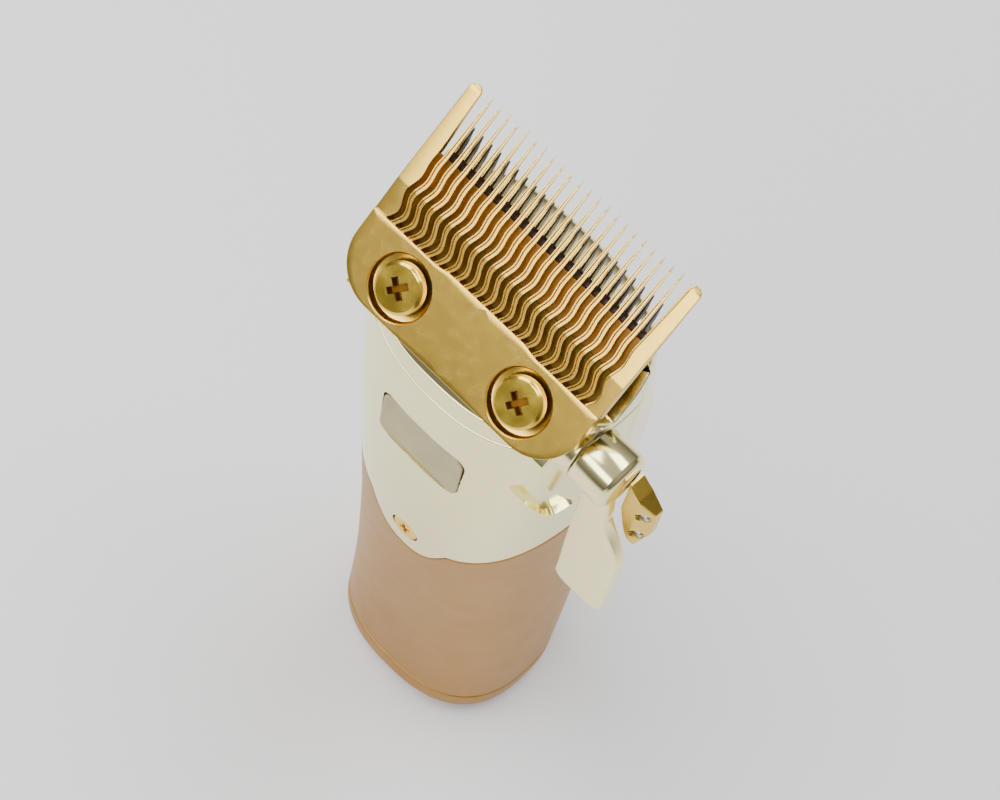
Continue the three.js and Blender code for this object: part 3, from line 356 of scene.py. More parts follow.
def slanted(outline, turn):
    """The outline turned about its middle: each place is turned back before it is measured."""
    c, s = math.cos(turn), math.sin(turn)
    return lambda along, up: outline(c * along + s * up, c * up - s * along)


def spread(mask):
    """The mask grown by one grid point in all eight directions."""
    padded = np.pad(mask, 1, mode="edge")
    rows, columns = mask.shape
    shifts = [(i, j) for i in range(3) for j in range(3)]
    return np.any([padded[i : i + rows, j : j + columns] for i, j in shifts], axis=0)


def draw_onto(outline, s, t, lip):
    """Moves the grid points around an outline. Those just outside go onto it, and those just
    inside onto a line a lip within it, each along the slope of the signed distance."""
    distance = outline(s, t)
    inside = distance < 0
    target = np.where(~inside & spread(inside), 0.0, distance)
    target = np.where(inside & spread(~inside), -lip, target)
    step = 0.01
    slope_s = (outline(s + step, t) - outline(s - step, t)) / (2 * step)
    slope_t = (outline(s, t + step) - outline(s, t - step)) / (2 * step)
    move = target - distance
    return s + slope_s * move, t + slope_t * move, inside


class Cover:
    """A wall of the body between two borders, with rounded rims, to be carved and then built."""

    def __init__(self, skin, low, high, spacing, step, edge=0.35, start=(80.0, 130.0)):
        self.skin = skin
        wrap = skin.end is None
        share, side_drop = skin.columns(100.0, spacing, 0.0 if wrap else edge)
        bottom, top = (skin.border(share, rule, z) for rule, z in zip((low, high), start))
        tallest = float(np.max(top - bottom))
        rows, drop = clustered(0.0, tallest, step, edge)
        self.low, self.high, self.start = low, high, start
        self.rows, self.tallest, self.edge = rows, tallest, edge
        self.share = np.broadcast_to(share, (len(rows), len(share))).copy()
        self.z = self.ruled(bottom, top)
        self.plain_z = self.z.copy()
        self.plain_share = share
        self.depth = np.maximum(drop[:, None], side_drop[None, :])
        self.keep = np.ones((len(rows) - 1, len(share) - (0 if wrap else 1)), bool)

    def ruled(self, bottom, top):
        """Heights of the rows: the rims keep their own width and the rest is shared out."""
        edge, tall = self.edge, self.tallest
        inner = (self.rows - edge) / (tall - 2 * edge)
        middle = (bottom + edge) + inner[:, None] * (top - bottom - 2 * edge)
        low = bottom + self.rows[:, None]
        high = top - (tall - self.rows)[:, None]
        rows = self.rows[:, None]
        return np.where(rows < edge, low, np.where(rows > tall - edge, high, middle))

    def carve(self, outline, centre_share, z, depth, lip=0.12, through=False, shift=0.0):
        """Sinks an outline into the cover, or with through cuts it out."""
        share, arc = self.skin.arc(z, centre_share)
        s, t, inside = draw_onto(
            outline, np.interp(self.share, share, arc) - shift, self.z - z, lip
        )
        self.share = np.interp(s + shift, arc, share)
        self.z = t + z
        self.depth = np.where(inside, np.maximum(self.depth, depth), self.depth)
        if through:
            right = np.roll(inside, -1, axis=1) if self.skin.end is None else inside[:, 1:]
            left = inside if self.skin.end is None else inside[:, :-1]
            both = left & right
            self.keep &= ~(both[1:] & both[:-1])

    def build(self):
        """The outer grid lies under the skin by the depth, and the inner by the wall."""
        outer = self.skin.point(self.share, self.z)
        outer -= self.skin.normal(self.share, self.z) * self.depth[..., None]
        limits = [
            self.skin.border(self.plain_share, rule, z, WALL)
            for rule, z in zip((self.low, self.high), self.start)
        ]
        inner_z = self.ruled(*limits) + self.z - self.plain_z
        inner = self.skin.point(self.share, inner_z, WALL)
        return sheet(outer, inner, self.keep, wrap=self.skin.end is None)


def shield_edge(x, grow=0.0):
    """The front cover's lower outline: an ellipse, and a lobe q (1 - |x / w|^2.6)^1.2 below it."""
    share = np.clip(np.abs(x) / (SHIELD_HALF_WIDTH + grow), 0.0, 1.0)
    bowl = SHIELD_CENTRE_Z - (SHIELD_DROP + grow) * np.sqrt(1.0 - share**2)
    near = np.clip(np.abs(x) / (LOBE_HALF_WIDTH + grow), 0.0, 1.0)
    return bowl - LOBE_DROP * (1.0 - near**2.6) ** 1.2


def rim_edge(x, grow=0.0):
    """The rim between the head and the front cover, an arc of a circle bowed down."""
    return RIM_CENTRE_Z - np.sqrt((RIM_RADIUS + grow) ** 2 - np.minimum(np.abs(x), 36.0) ** 2)


# ---- The blade's own axes --------------------------------------------------------------------

BLADE_ORIGIN = np.array([0.0, -18.0, 150.6])
LEAN = math.radians(43.0)
ALONG = np.array([0.0, math.sin(LEAN), math.cos(LEAN)])
OUTWARD = np.array([0.0, -math.cos(LEAN), math.sin(LEAN)])


def from_blade(x, v, w):
    """A point from blade axes: x across, v up the teeth, w out of the blade's face."""
    x, v, w = np.broadcast_arrays(x, v, w)
    across = x[..., None] * np.array([1.0, 0.0, 0.0])
    return BLADE_ORIGIN + across + v[..., None] * ALONG + w[..., None] * OUTWARD


def blade_plane(y, w):
    """The height of a plane of constant w, at y."""
    return BLADE_ORIGIN[2] + (w + (y - BLADE_ORIGIN[1]) * math.cos(LEAN)) / math.sin(LEAN)


def under_blade(x, y):
    """The covers' upper border: under the plate, and lower still behind the teeth."""
    behind = BLADE_ORIGIN[2] + (-2.6 - (y - BLADE_ORIGIN[1]) * math.sin(LEAN)) / math.cos(LEAN)
    under_plate = blade_plane(y, -2.5)
    under_teeth = blade_plane(y, -9.8)
    return np.minimum(np.minimum(under_plate, np.maximum(behind, under_teeth)), ROOF_Z)


# ---- Shader groups ---------------------------------------------------------------------------


def new_group(name, inputs, outputs):
    """An empty shader group with named float inputs, and outputs given as name and kind."""
    group = bpy.data.node_groups.new(name, "ShaderNodeTree")
    for label, value in inputs.items():
        socket = group.interface.new_socket(label, in_out="INPUT", socket_type="NodeSocketFloat")
        socket.default_value = value
    for label, kind in outputs.items():
        group.interface.new_socket(label, in_out="OUTPUT", socket_type=kind)
    return group, group.nodes.new("NodeGroupInput"), group.nodes.new("NodeGroupOutput")


def node(tree, kind, links=(), **values):
    """A node with its properties and constant sockets set, linked from (socket, source) pairs."""
    made = tree.nodes.new("ShaderNode" + kind)
    for label, value in values.items():
        if hasattr(made, label):
            setattr(made, label, value)
        else:
            made.inputs[label.replace("_", " ")].default_value = value
    for socket, source in links:
        tree.links.new(source, made.inputs[socket])
    return made


def noise_of(tree, place_socket, scale, detail=3.0, stretch=None, scale_link=None):
    """Noise at a scale, with its coordinates stretched along the axes if asked."""
    if stretch is not None:
        mapping = node(tree, "Mapping", [("Vector", place_socket)])
        mapping.inputs["Scale"].default_value = stretch[0]
        mapping.inputs["Rotation"].default_value = stretch[1]
        place_socket = mapping.outputs["Vector"]
    made = node(tree, "TexNoise", [("Vector", place_socket)], Scale=scale, Detail=detail)
    if scale_link is not None:
        tree.links.new(scale_link, made.inputs["Scale"])
    return made.outputs["Fac"]


def blotches_group():
    """Slow variation between two values, as handling and casting leave on a surface."""
    group, given, out = new_group(
        "soft_blotches", {"Scale": 60.0, "Low": 0.2, "High": 0.3}, {"Value": "NodeSocketFloat"}
    )
    where = node(group, "TexCoord").outputs["Object"]
    pattern = noise_of(group, where, 60.0, 4.0, scale_link=given.outputs["Scale"])
    links = [("Value", pattern), ("To Min", given.outputs["Low"]), ("To Max", given.outputs["High"])]
    spread_out = node(group, "MapRange", links, From_Min=0.3, From_Max=0.7)
    group.links.new(spread_out.outputs["Result"], out.inputs["Value"])
    return group


def grain_group():
    """A fine even grain, as blasting and moulding leave, with its bump."""
    group, given, out = new_group(
        "fine_grain",
        {"Scale": 4000.0, "Depth": 0.00001},
        {"Value": "NodeSocketFloat", "Normal": "NodeSocketVector"},
    )
    where = node(group, "TexCoord").outputs["Object"]
    pattern = noise_of(group, where, 4000.0, 2.0, scale_link=given.outputs["Scale"])
    links = [("Height", pattern), ("Distance", given.outputs["Depth"])]
    bump = node(group, "Bump", links, Strength=1.0)
    group.links.new(pattern, out.inputs["Value"])
    group.links.new(bump.outputs["Normal"], out.inputs["Normal"])
    return group


def brushed_group():
    """Long fine scratches across the blade, as grinding leaves, with their bump."""
    group, given, out = new_group(
        "brushed_lines",
        {"Scale": 300.0, "Depth": 0.000005},
        {"Value": "NodeSocketFloat", "Normal": "NodeSocketVector"},
    )
    where = node(group, "TexCoord").outputs["Object"]
    pattern = noise_of(
        group, where, 300.0, 3.0, ((0.04, 1.0, 1.0), (0.0, 0.0, 0.03)), given.outputs["Scale"]
    )
    bump = node(group, "Bump", [("Height", pattern), ("Distance", given.outputs["Depth"])])
    group.links.new(pattern, out.inputs["Value"])
    group.links.new(bump.outputs["Normal"], out.inputs["Normal"])
    return group


def product(group, masks, strength, target):
    """Links the product of two masks and a strength, clamped to 0 and 1, to a socket."""
    pair = [(0, masks[0]), (1, masks[1])]
    both = node(group, "Math", pair, operation="MULTIPLY").outputs["Value"]
    pair = [(0, both), (1, strength)]
    scaled = node(group, "Math", pair, operation="MULTIPLY", use_clamp=True)
    group.links.new(scaled.outputs["Value"], target)


def wear_group():
    """Where an edge is: the angle between the face's normal and the same normal rounded off over
    a radius, broken up by noise."""
    group, given, out = new_group(
        "edge_wear", {"Radius": 0.0003, "Strength": 1.0}, {"Mask": "NodeSocketFloat"}
    )
    soft = node(group, "Bevel", [("Radius", given.outputs["Radius"])], samples=4)
    plain = node(group, "NewGeometry").outputs["Normal"]
    pair = [(0, soft.outputs["Normal"]), (1, plain)]
    same = node(group, "VectorMath", pair, operation="DOT_PRODUCT").outputs["Value"]
    edge = node(group, "MapRange", [("Value", same)], From_Min=0.995, From_Max=0.75)
    where = node(group, "TexCoord").outputs["Object"]
    ragged = noise_of(group, where, 900.0, 4.0)
    broken = node(group, "MapRange", [("Value", ragged)], From_Min=0.35, From_Max=0.6)
    masks = (edge.outputs["Result"], broken.outputs["Result"])
    product(group, masks, given.outputs["Strength"], out.inputs["Mask"])
    return group


def dust_group():
    """A thin film that settles where a face looks up and that comes and goes in patches."""
    group, given, out = new_group(
        "dust_film", {"Amount": 0.1, "Scale": 250.0}, {"Mask": "NodeSocketFloat"}
    )
    normal = node(group, "NewGeometry").outputs["Normal"]
    up = node(group, "SeparateXYZ", [("Vector", normal)]).outputs["Z"]
    level = node(group, "MapRange", [("Value", up)], From_Min=0.2, From_Max=1.0)
    where = node(group, "TexCoord").outputs["Object"]
    patches = noise_of(group, where, 250.0, 6.0, scale_link=given.outputs["Scale"])
    thin = node(group, "MapRange", [("Value", patches)], From_Min=0.45, From_Max=0.75)
    both = node(
        group, "Math", [(0, level.outputs["Result"]), (1, thin.outputs["Result"])],
        operation="MULTIPLY",
    )
    scaled = node(
        group, "Math", [(0, both.outputs["Value"]), (1, given.outputs["Amount"])],
        operation="MULTIPLY", use_clamp=True,
    )
    group.links.new(scaled.outputs["Value"], out.inputs["Mask"])
    return group


GROUP_MAKERS = {
    "soft_blotches": blotches_group,
    "fine_grain": grain_group,
    "brushed_lines": brushed_group,
    "edge_wear": wear_group,
    "dust_film": dust_group,
}


def use(tree, name, **values):
    """Places a shader group in a material, building the group on first use."""
    group = bpy.data.node_groups.get(name) or GROUP_MAKERS[name]()
    made = tree.nodes.new("ShaderNodeGroup")
    made.node_tree = group
    for label, value in values.items():
        made.inputs[label].default_value = value
    return made


def mixed(tree, mask, first, second):
    """A colour between two, by a mask."""
    made = tree.nodes.new("ShaderNodeMix")
    made.data_type = "RGBA"
    tree.links.new(mask, made.inputs["Factor"])
    for socket, value in zip(("A", "B"), (first, second)):
        target = [s for s in made.inputs if s.name == socket and s.type == "RGBA"][0]
        if isinstance(value, bpy.types.NodeSocket):
            tree.links.new(value, target)
        else:
            target.default_value = (*value, 1.0)
    return [s for s in made.outputs if s.type == "RGBA"][0]


def finish(name, colour, metallic, rough, blotch=60.0, grain=None, brushed=None, wear=None,
           dust=0.0, shade=0.85, **constants):
    """A material. Its colour wanders between the colour and a shade of it, its roughness
    between two values, and wear brightens its edges. grain and brushed are (scale, depth)."""
    made = bpy.data.materials.get(name)
    if made:
        return made
    made = bpy.data.materials.new(name)
    made.use_nodes = True
    tree = made.node_tree
    shader = tree.nodes["Principled BSDF"]
    shader.inputs["Metallic"].default_value = metallic
    for label, value in constants.items():
        shader.inputs[label.replace("_", " ")].default_value = value
    tone = use(tree, "soft_blotches", Scale=blotch, Low=0.0, High=1.0).outputs["Value"]
    darker = tuple(channel * shade for channel in colour)
    base = mixed(tree, tone, colour, darker)
    if wear:
        mask = use(tree, "edge_wear", Radius=wear[0], Strength=wear[1]).outputs["Mask"]
        base = mixed(tree, mask, base, wear[2])
    if dust:
        film = use(tree, "dust_film", Amount=dust).outputs["Mask"]
        base = mixed(tree, film, base, (0.72, 0.70, 0.66))
    tree.links.new(base, shader.inputs["Base Color"])
    gloss = use(tree, "soft_blotches", Scale=blotch * 2.3, Low=rough[0], High=rough[1])
    tree.links.new(gloss.outputs["Value"], shader.inputs["Roughness"])
    for group, setting in (("fine_grain", grain), ("brushed_lines", brushed)):
        if setting:
            relief = use(tree, group, Scale=setting[0], Depth=setting[1])
            tree.links.new(relief.outputs["Normal"], shader.inputs["Normal"])
    return made


# ---- Settings a user would change ------------------------------------------------------------


def length(name, description, default, low, high):
    return bpy.props.FloatProperty(
        name=name, description=description, default=default, min=low, max=high,
        precision=5, unit="LENGTH",
    )


def colour(name, description, default):
    return bpy.props.FloatVectorProperty(
        name=name, description=description, default=default, min=0.0, max=1.0,
        size=3, subtype="COLOR",
    )


class ClipperSizes(bpy.types.PropertyGroup):
    """Sizes of the finer shapes. The main sizes are the frame's."""

    teeth: bpy.props.IntProperty(
        name="Teeth", description="Fine teeth between the two guards", default=22, min=8, max=40
    )
    pitch: length("Tooth pitch", "From one tooth to the next", 0.001808, 0.001, 0.003)
    wave: length("Tooth wave", "How far a tooth bends sideways", 0.00064, 0.0, 0.001)
    step: length("Ground step", "How far the teeth lie under the plate", 0.00035, 0.0001, 0.0006)
    counterbore: length("Counterbore", "Radius of a blade screw's seat", 0.0052, 0.0045, 0.0054)
    rim: length("Rim rounding", "Radius on the covers' edges", 0.00035, 0.0001, 0.001)
    hub: length("Lever hub", "Radius of the taper lever's hub", 0.005, 0.004, 0.0052)


class ClipperFinishes(bpy.types.PropertyGroup):
    """Colours of the finishes."""

    blade: colour("Blade gold", "Satin gold of the blade", (0.74, 0.49, 0.085))
    screw: colour("Screw gold", "Bright gold of the screws", (0.90, 0.62, 0.08))
    polish: colour("Champagne", "Polished covers and lever", (0.98, 0.89, 0.46))
    copper: colour("Copper", "Matte copper of the grip", (0.43, 0.23, 0.055))
    panel: colour("Panel", "Blank patch on the front cover", (0.46, 0.40, 0.20))
    steel: colour("Steel", "Bare ground steel", (0.52, 0.50, 0.46))
    plastic: colour("Plastic", "Black moulded plastic", (0.018, 0.018, 0.019))


def finishes():
    """Every material, by its slot in the record."""
    chosen = bpy.context.scene.clipper_finishes
    plain = {label: tuple(getattr(chosen, label)) for label in ClipperFinishes.__annotations__}
    pale_edge = (0.95, 0.86, 0.62)
    return {
        "blade_gold": finish(
            "satin_gold", plain["blade"], 1.0, (0.24, 0.28), 260.0, shade=0.96,
            brushed=(1400.0, 0.000001), wear=(0.00012, 0.8, pale_edge),
        ),
        # The next two are the blade's gold darkened as painted shade on the slots' floor: darkest near the
        # step, amber further out.
        "amber_ground": finish(
            "amber_ground", (0.24, 0.11, 0.02), 0.9, (0.38, 0.5), 200.0, shade=0.7,
            brushed=(900.0, 0.000008),
        ),
        "olive_ground": finish(
            "olive_ground", (0.13, 0.08, 0.012), 0.9, (0.42, 0.55), 200.0, shade=0.7,
            brushed=(900.0, 0.000008),
        ),
        # Dark gold painted as shade inside the screws' cross recesses.
        "recess_gold": finish(
            "recess_gold", (0.26, 0.12, 0.012), 0.9, (0.40, 0.5), 200.0, shade=0.75,
            grain=(2500.0, 0.000004),
        ),
        "screw_gold": finish(
            "bright_gold", plain["screw"], 1.0, (0.14, 0.24), 200.0, grain=(2500.0, 0.000002),
            wear=(0.0002, 0.7, (0.98, 0.88, 0.55)),
        ),
        "polished_champagne": finish(
            "champagne_mirror", plain["polish"], 1.0, (0.12, 0.20), 40.0, shade=0.95,
            grain=(900.0, 0.000002), wear=(0.0003, 0.3, (0.97, 0.90, 0.60)),
        ),
        "copper_satin": finish(
            "matte_copper", plain["copper"], 1.0, (0.40, 0.46), 70.0, shade=0.95,
            grain=(5200.0, 0.00001), wear=(0.0004, 0.4, (0.70, 0.45, 0.22)),
        ),
        "rating_panel": finish(
            "dull_panel", plain["panel"], 0.6, (0.35, 0.5), 120.0, grain=(3000.0, 0.000006),
            wear=(0.0002, 0.5, (0.6, 0.58, 0.45)),
        ),
        "bare_steel": finish(
            "ground_steel", plain["steel"], 1.0, (0.26, 0.40), 150.0, brushed=(700.0, 0.000005),
            wear=(0.0002, 0.8, (0.85, 0.84, 0.80)),
        ),
        "cutter_black": finish(
            "black_coating", (0.040, 0.022, 0.020), 0.5, (0.44, 0.56), 150.0,
            brushed=(700.0, 0.000004), wear=(0.0001, 0.3, (0.10, 0.075, 0.06)),
        ),
        "black_plastic": finish(
            "grained_plastic", plain["plastic"], 0.0, (0.45, 0.6), 90.0, shade=0.7,
            grain=(3500.0, 0.00002), wear=(0.0003, 0.6, (0.10, 0.10, 0.10)), dust=0.06,
        ),
        "board_green": finish(
            "solder_mask", (0.01, 0.09, 0.03), 0.0, (0.25, 0.4), 400.0, shade=0.6,
            grain=(1200.0, 0.00002), Coat_Weight=0.5,
        ),
        "cell_wrap": finish(
            "shrink_wrap", (0.03, 0.12, 0.42), 0.0, (0.3, 0.45), 60.0,
            grain=(300.0, 0.00008), wear=(0.0004, 0.4, (0.2, 0.32, 0.6)),
        ),
        "lens_clear": finish(
            "clear_lens", (0.86, 0.95, 1.0), 0.0, (0.03, 0.08), 300.0,
            Transmission_Weight=0.9, IOR=1.49,
        ),
        "lead_red": finish(
            "red_insulation", (0.32, 0.015, 0.01), 0.0, (0.4, 0.55), 200.0,
            grain=(2500.0, 0.00001),
        ),
        "lead_black": finish(
            "black_insulation", (0.012, 0.012, 0.012), 0.0, (0.4, 0.55), 200.0,
            grain=(2500.0, 0.00001),
        ),
    }


def finish_for(slot):
    return finishes()[slot]


def sizes():
    return bpy.context.scene.clipper_sizes


class PieceOperator:
    """What every piece's operator shares: it builds, and raises if it can't."""

    bl_options = {"REGISTER"}

    def execute(self, context):
        self.build(context)
        return {"FINISHED"}


# ---- Blade -----------------------------------------------------------------------------------

PLATE_BACK = 12.7
PLATE_HALF = 23.0
PLATE_UNDER = -2.2
PLATE_CORNER = 8.0
SCREW_PLACE = (12.4, -6.7)
SEAT_DEPTH = 1.85
TOOTH_END = 24.0
WAVE_END = 13.5
FACET_V = 5.8  # from here the face of the teeth and guards is ground down towards the tips
FACET_SLOPE = 0.075
WEB_END = 12.4  # how far a thin web closes the slots from below; its darker gold is painted shade
WAVE_PITCH = 6.3


def wave(v):
    """A cosine along the tooth that dies away: a (1 - v / e) cos(2 pi (v - 2.2) / p)."""
    fade = np.clip(1.0 - v / WAVE_END, 0.0, 1.0)
    return sizes().wave / MM * fade * np.cos(2.0 * np.pi * (v - 2.2) / WAVE_PITCH)


def step_line(x):
    """Where the plate ends and the teeth begin, bowed out a little in the middle."""
    return 0.5 * (1.0 - smooth(np.abs(x), 7.0, 10.5))


def half_plate_outline():
    """The right half's outline from the middle of the step line round to the middle of the
    back, then up the middle line. Also the way in from each point."""
    top = np.linspace(0.0, PLATE_HALF - 0.4, 60)
    corner = np.linspace(np.pi / 2, 0.0, 5)
    side = np.linspace(-0.6, PLATE_CORNER - PLATE_BACK, 14)
    turn = np.linspace(0.0, -np.pi / 2, 30)[1:]
    back = np.linspace(PLATE_HALF - PLATE_CORNER, 0.0, 40)[1:]
    x = np.concatenate([
        top, PLATE_HALF - 0.4 + 0.4 * np.cos(corner[1:]), np.full_like(side, PLATE_HALF),
        PLATE_HALF - PLATE_CORNER + PLATE_CORNER * np.cos(turn), back,
    ])
    v = np.concatenate([
        step_line(top), -0.4 + 0.4 * np.sin(corner[1:]), side,
        PLATE_CORNER - PLATE_BACK + PLATE_CORNER * np.sin(turn), np.full_like(back, -PLATE_BACK),
    ])
    dx, dv = np.gradient(x), np.gradient(v)
    inward = np.stack([dv, -dx], axis=1)
    inward /= np.linalg.norm(inward, axis=1, keepdims=True)
    inward[0, 0] = inward[-1, 0] = 0.0
    middle = np.linspace(-PLATE_BACK, step_line(0.0), 36)[1:-1]
    x = np.concatenate([x, np.zeros_like(middle)])
    v = np.concatenate([v, middle])
    return np.stack([x, v], axis=1), np.concatenate([inward, np.zeros((len(middle), 2))])


def half_plate(side):
    """The plate's half as a closed ring of sections around its screw's hole. Each section runs
    from the hole's floor up its wall, over the face to the outline, down and back under."""
    outline, inward = half_plate_outline()
    centre = np.array(SCREW_PLACE)
    way = outline - centre
    way /= np.linalg.norm(way, axis=1, keepdims=True)
    bore = sizes().counterbore / MM
    rows = []
    for radius, w in (
        (2.0, -SEAT_DEPTH), (bore - 0.25, -SEAT_DEPTH), (bore - 0.06, -SEAT_DEPTH + 0.07),
        (bore, -SEAT_DEPTH + 0.25), (bore, -0.26), (bore + 0.04, -0.17), (bore + 0.24, 0.0),
    ):
        rows.append((centre + way * radius, w))
    face = centre + way * (bore + 0.24)
    for share in (0.25, 0.5, 0.75):
        rows.append((face * (1 - share) + (outline + inward * 0.22) * share, 0.0))
    for inset, w in (
        (0.22, 0.0), (0.09, -0.03), (0.02, -0.1), (0.0, -0.24), (0.0, PLATE_UNDER + 0.12),
        (0.12, PLATE_UNDER),
    ):
        rows.append((outline + inward * inset, w))
    rows.append((centre + way * 2.0, PLATE_UNDER))
    flat = np.stack([points for points, _ in rows])
    w = np.array([w for _, w in rows])[:, None]
    grid = from_blade(side * flat[..., 0], flat[..., 1], w)
    return grid, grid_faces(*grid.shape[:2], wrap_rows=True)


def tooth_section(step):
    """A tooth's section as x and w: a wide land, a narrow ground line, a strip, then walls that
    draw in a little below."""
    x = [0.47, 0.45, 0.41, 0.02, -0.03, -0.12, -0.21, -0.26, -0.40, -0.44, -0.455, -0.40, 0.41]
    w = [0.16, 0.04, 0.0, 0.0, 0.05, 0.36, 0.07, 0.02, 0.02, 0.05, 0.17, 0.0, 0.0]
    w = -step - np.array(w)
    w[-2:] = PLATE_UNDER
    return np.array(x), w


def blade_teeth():
    """Each tooth carries its section along the wave, narrowing to a fine tip."""
    count, pitch, step = sizes().teeth, sizes().pitch / MM, sizes().step / MM
    v = np.concatenate([np.linspace(-0.6, 14.0, 72), np.linspace(14.5, TOOTH_END, 22)])
    taper = 1.0 - 0.80 * np.clip((v - 11.0) / (TOOTH_END - 11.0), 0.0, 1.0) ** 1.15
    tip = smooth(v, TOOTH_END - 1.2, TOOTH_END)
    x, w = tooth_section(step)
    across = x[None, :] * (taper * (1.0 - 0.5 * tip))[:, None] + wave(v)[:, None]
    sinking = 0.35 * tip + FACET_SLOPE * np.clip(v - FACET_V, 0.0, None)
    depth = np.maximum(w[None, :] - sinking[:, None] * (w > -1.5), PLATE_UNDER)
    return [
        tube(from_blade(across + (k - (count - 1) / 2) * pitch, v[:, None], depth))
        for k in range(count)
    ]


def blade_guard(side):
    """A guard beside the teeth. Its inner edge follows the wave, its face turns down to the tip
    from a facet line across it, and its tip is a half circle."""
    count, pitch, step = sizes().teeth, sizes().pitch / MM, sizes().step / MM
    tip_radius = 1.15
    v = np.concatenate([
        np.linspace(-0.6, FACET_V - 0.02, 32),
        np.linspace(FACET_V + 0.02, TOOTH_END - tip_radius, 50),
        TOOTH_END - tip_radius + tip_radius * np.sin(np.linspace(0.1, 1.56, 12)),
    ])
    edge = (count - 1) / 2 * pitch + pitch
    lift = 0.46 * smooth(v, 11.0, TOOTH_END)
    right_wall = edge - 0.46 + wave(v) + lift
    left_wall = edge - 0.50 - wave(v) + lift
    inner = right_wall if side > 0 else left_wall
    inner = np.minimum(inner, PLATE_HALF - 2.2)
    top = -step - FACET_SLOPE * np.clip(v - FACET_V, 0.0, None)
    round_off = np.clip((v - TOOTH_END + tip_radius) / tip_radius, 0.0, 1.0)
    shrink = np.sqrt(np.clip(1.0 - round_off**2, 0.0, 1.0))
    ledge = side > 0
    profile = [(0.0, -0.38), (0.02, -0.29), (0.08, -0.24), (0.24, -0.22), (0.31, -0.19),
               (0.39, -0.03), (0.44, 0.0)] if ledge else [
               (0.0, -0.14), (0.03, -0.03), (0.08, 0.0), (0.12, 0.0), (0.2, 0.0),
               (0.3, 0.0), (0.4, 0.0)]
    columns = [(inner + offset, top + drop) for offset, drop in profile]
    columns += [
        (np.full_like(v, PLATE_HALF - 0.2), top), (np.full_like(v, PLATE_HALF - 0.05), top - 0.05),
        (np.full_like(v, PLATE_HALF), top - 0.2), (np.full_like(v, PLATE_HALF), PLATE_UNDER + 0 * v),
        (inner, PLATE_UNDER + 0 * v),
    ]
    x = np.stack([x for x, _ in columns], axis=1)
    w = np.stack([w for _, w in columns], axis=1)
    centre = PLATE_HALF - tip_radius
    x = centre + (x - centre) * shrink[:, None]
    w = np.where(w > -2.0, w - 0.25 * (1.0 - shrink[:, None]), w)
    return tube(from_blade(side * x, v[:, None], w))


def slab(low, high, turn=from_blade, edge=0.15, square=9.0):
    """A flat bar with soft edges between two corners, in blade axes unless told otherwise."""
    low, high = np.array(low, float), np.array(high, float)
    middle, half = (low + high) / 2, (high - low) / 2
    ends, drop = clustered(low[0], high[0], half[0], edge)
    grid, faces = loft(
        ends, middle[1:], [half[1] - drop, half[2] - drop], square, sides=32, along=0
    )
    return turn(*np.moveaxis(grid, -1, 0)), faces


class CLIPPER_OT_blade(PieceOperator, bpy.types.Operator):
    """Build the fixed blade: plate, step, fine wavy teeth and two guards"""

    bl_idname = "clipper.blade"
    bl_label = "Fixed blade"

    def build(self, context):
        parts = [half_plate(1), half_plate(-1)]
        place("blade_plate", parts, "housing", finish_for("blade_gold"),
              ["fixed_blade"], floor_plane=0)
        teeth = blade_teeth() + [blade_guard(-1), blade_guard(1)]
        place("blade_teeth", teeth, "housing", finish_for("blade_gold"), sharp=22.0)
        # Two web slabs under the slots, each in a darker gold that stands for the shade inside the slots.
        for name, low, high in (("olive_ground", -1.0, FACET_V), ("amber_ground", FACET_V, WEB_END)):
            web = slab((-22.3, low, -2.18), (22.3, high, -1.95), edge=0.01)
            place("web_" + name, [web], "housing", finishes()[name])


class CLIPPER_OT_cutter(PieceOperator, bpy.types.Operator):
    """Build the moving cutter: a plate and its straight teeth with ground tips"""

    bl_idname = "clipper.cutter"
    bl_label = "Cutter"

    def build(self, context):
        count, pitch = sizes().teeth, sizes().pitch / MM
        v = np.concatenate([np.linspace(12.6, 16.5, 12), np.linspace(16.8, 18.3, 8)])
        half = 0.62 - 0.34 * np.clip((v - 13.5) / 4.8, 0.0, 1.0)
        drop = 0.8 * smooth(v, 15.5, 18.3)
        x = np.array([-1.0, -0.8, 0.8, 1.0, 1.0, 0.85, -0.85, -1.0])
        low = np.array([0, 0, 0, 0, 1, 1, 1, 1], float)
        w = np.array([-2.47, -2.36, -2.36, -2.47, -3.85, -3.95, -3.95, -3.85])
        depth = w[None, :] + drop[:, None] * low[None, :]
        teeth = [
            tube(from_blade(x * half[:, None] + (k - (count - 1) / 2) * pitch, v[:, None], depth))
            for k in range(count)
        ]
        body = slab((-20.0, -2.2, -3.95), (20.0, 13.4, -2.35))
        place("cutter_comb", [body] + teeth, "cutter",
              finish_for("cutter_black"), ["cutter_blade"])


# ---- Screws ----------------------------------------------------------------------------------


def cross_edge(angle, arm, slot):
    """How far a cross reaches from its middle in a direction: its arms' ends or their sides."""
    turned = np.abs((angle + np.pi / 4) % (np.pi / 2) - np.pi / 4)
    return np.minimum(arm / np.cos(turned), slot / np.maximum(np.sin(turned), 1e-6))


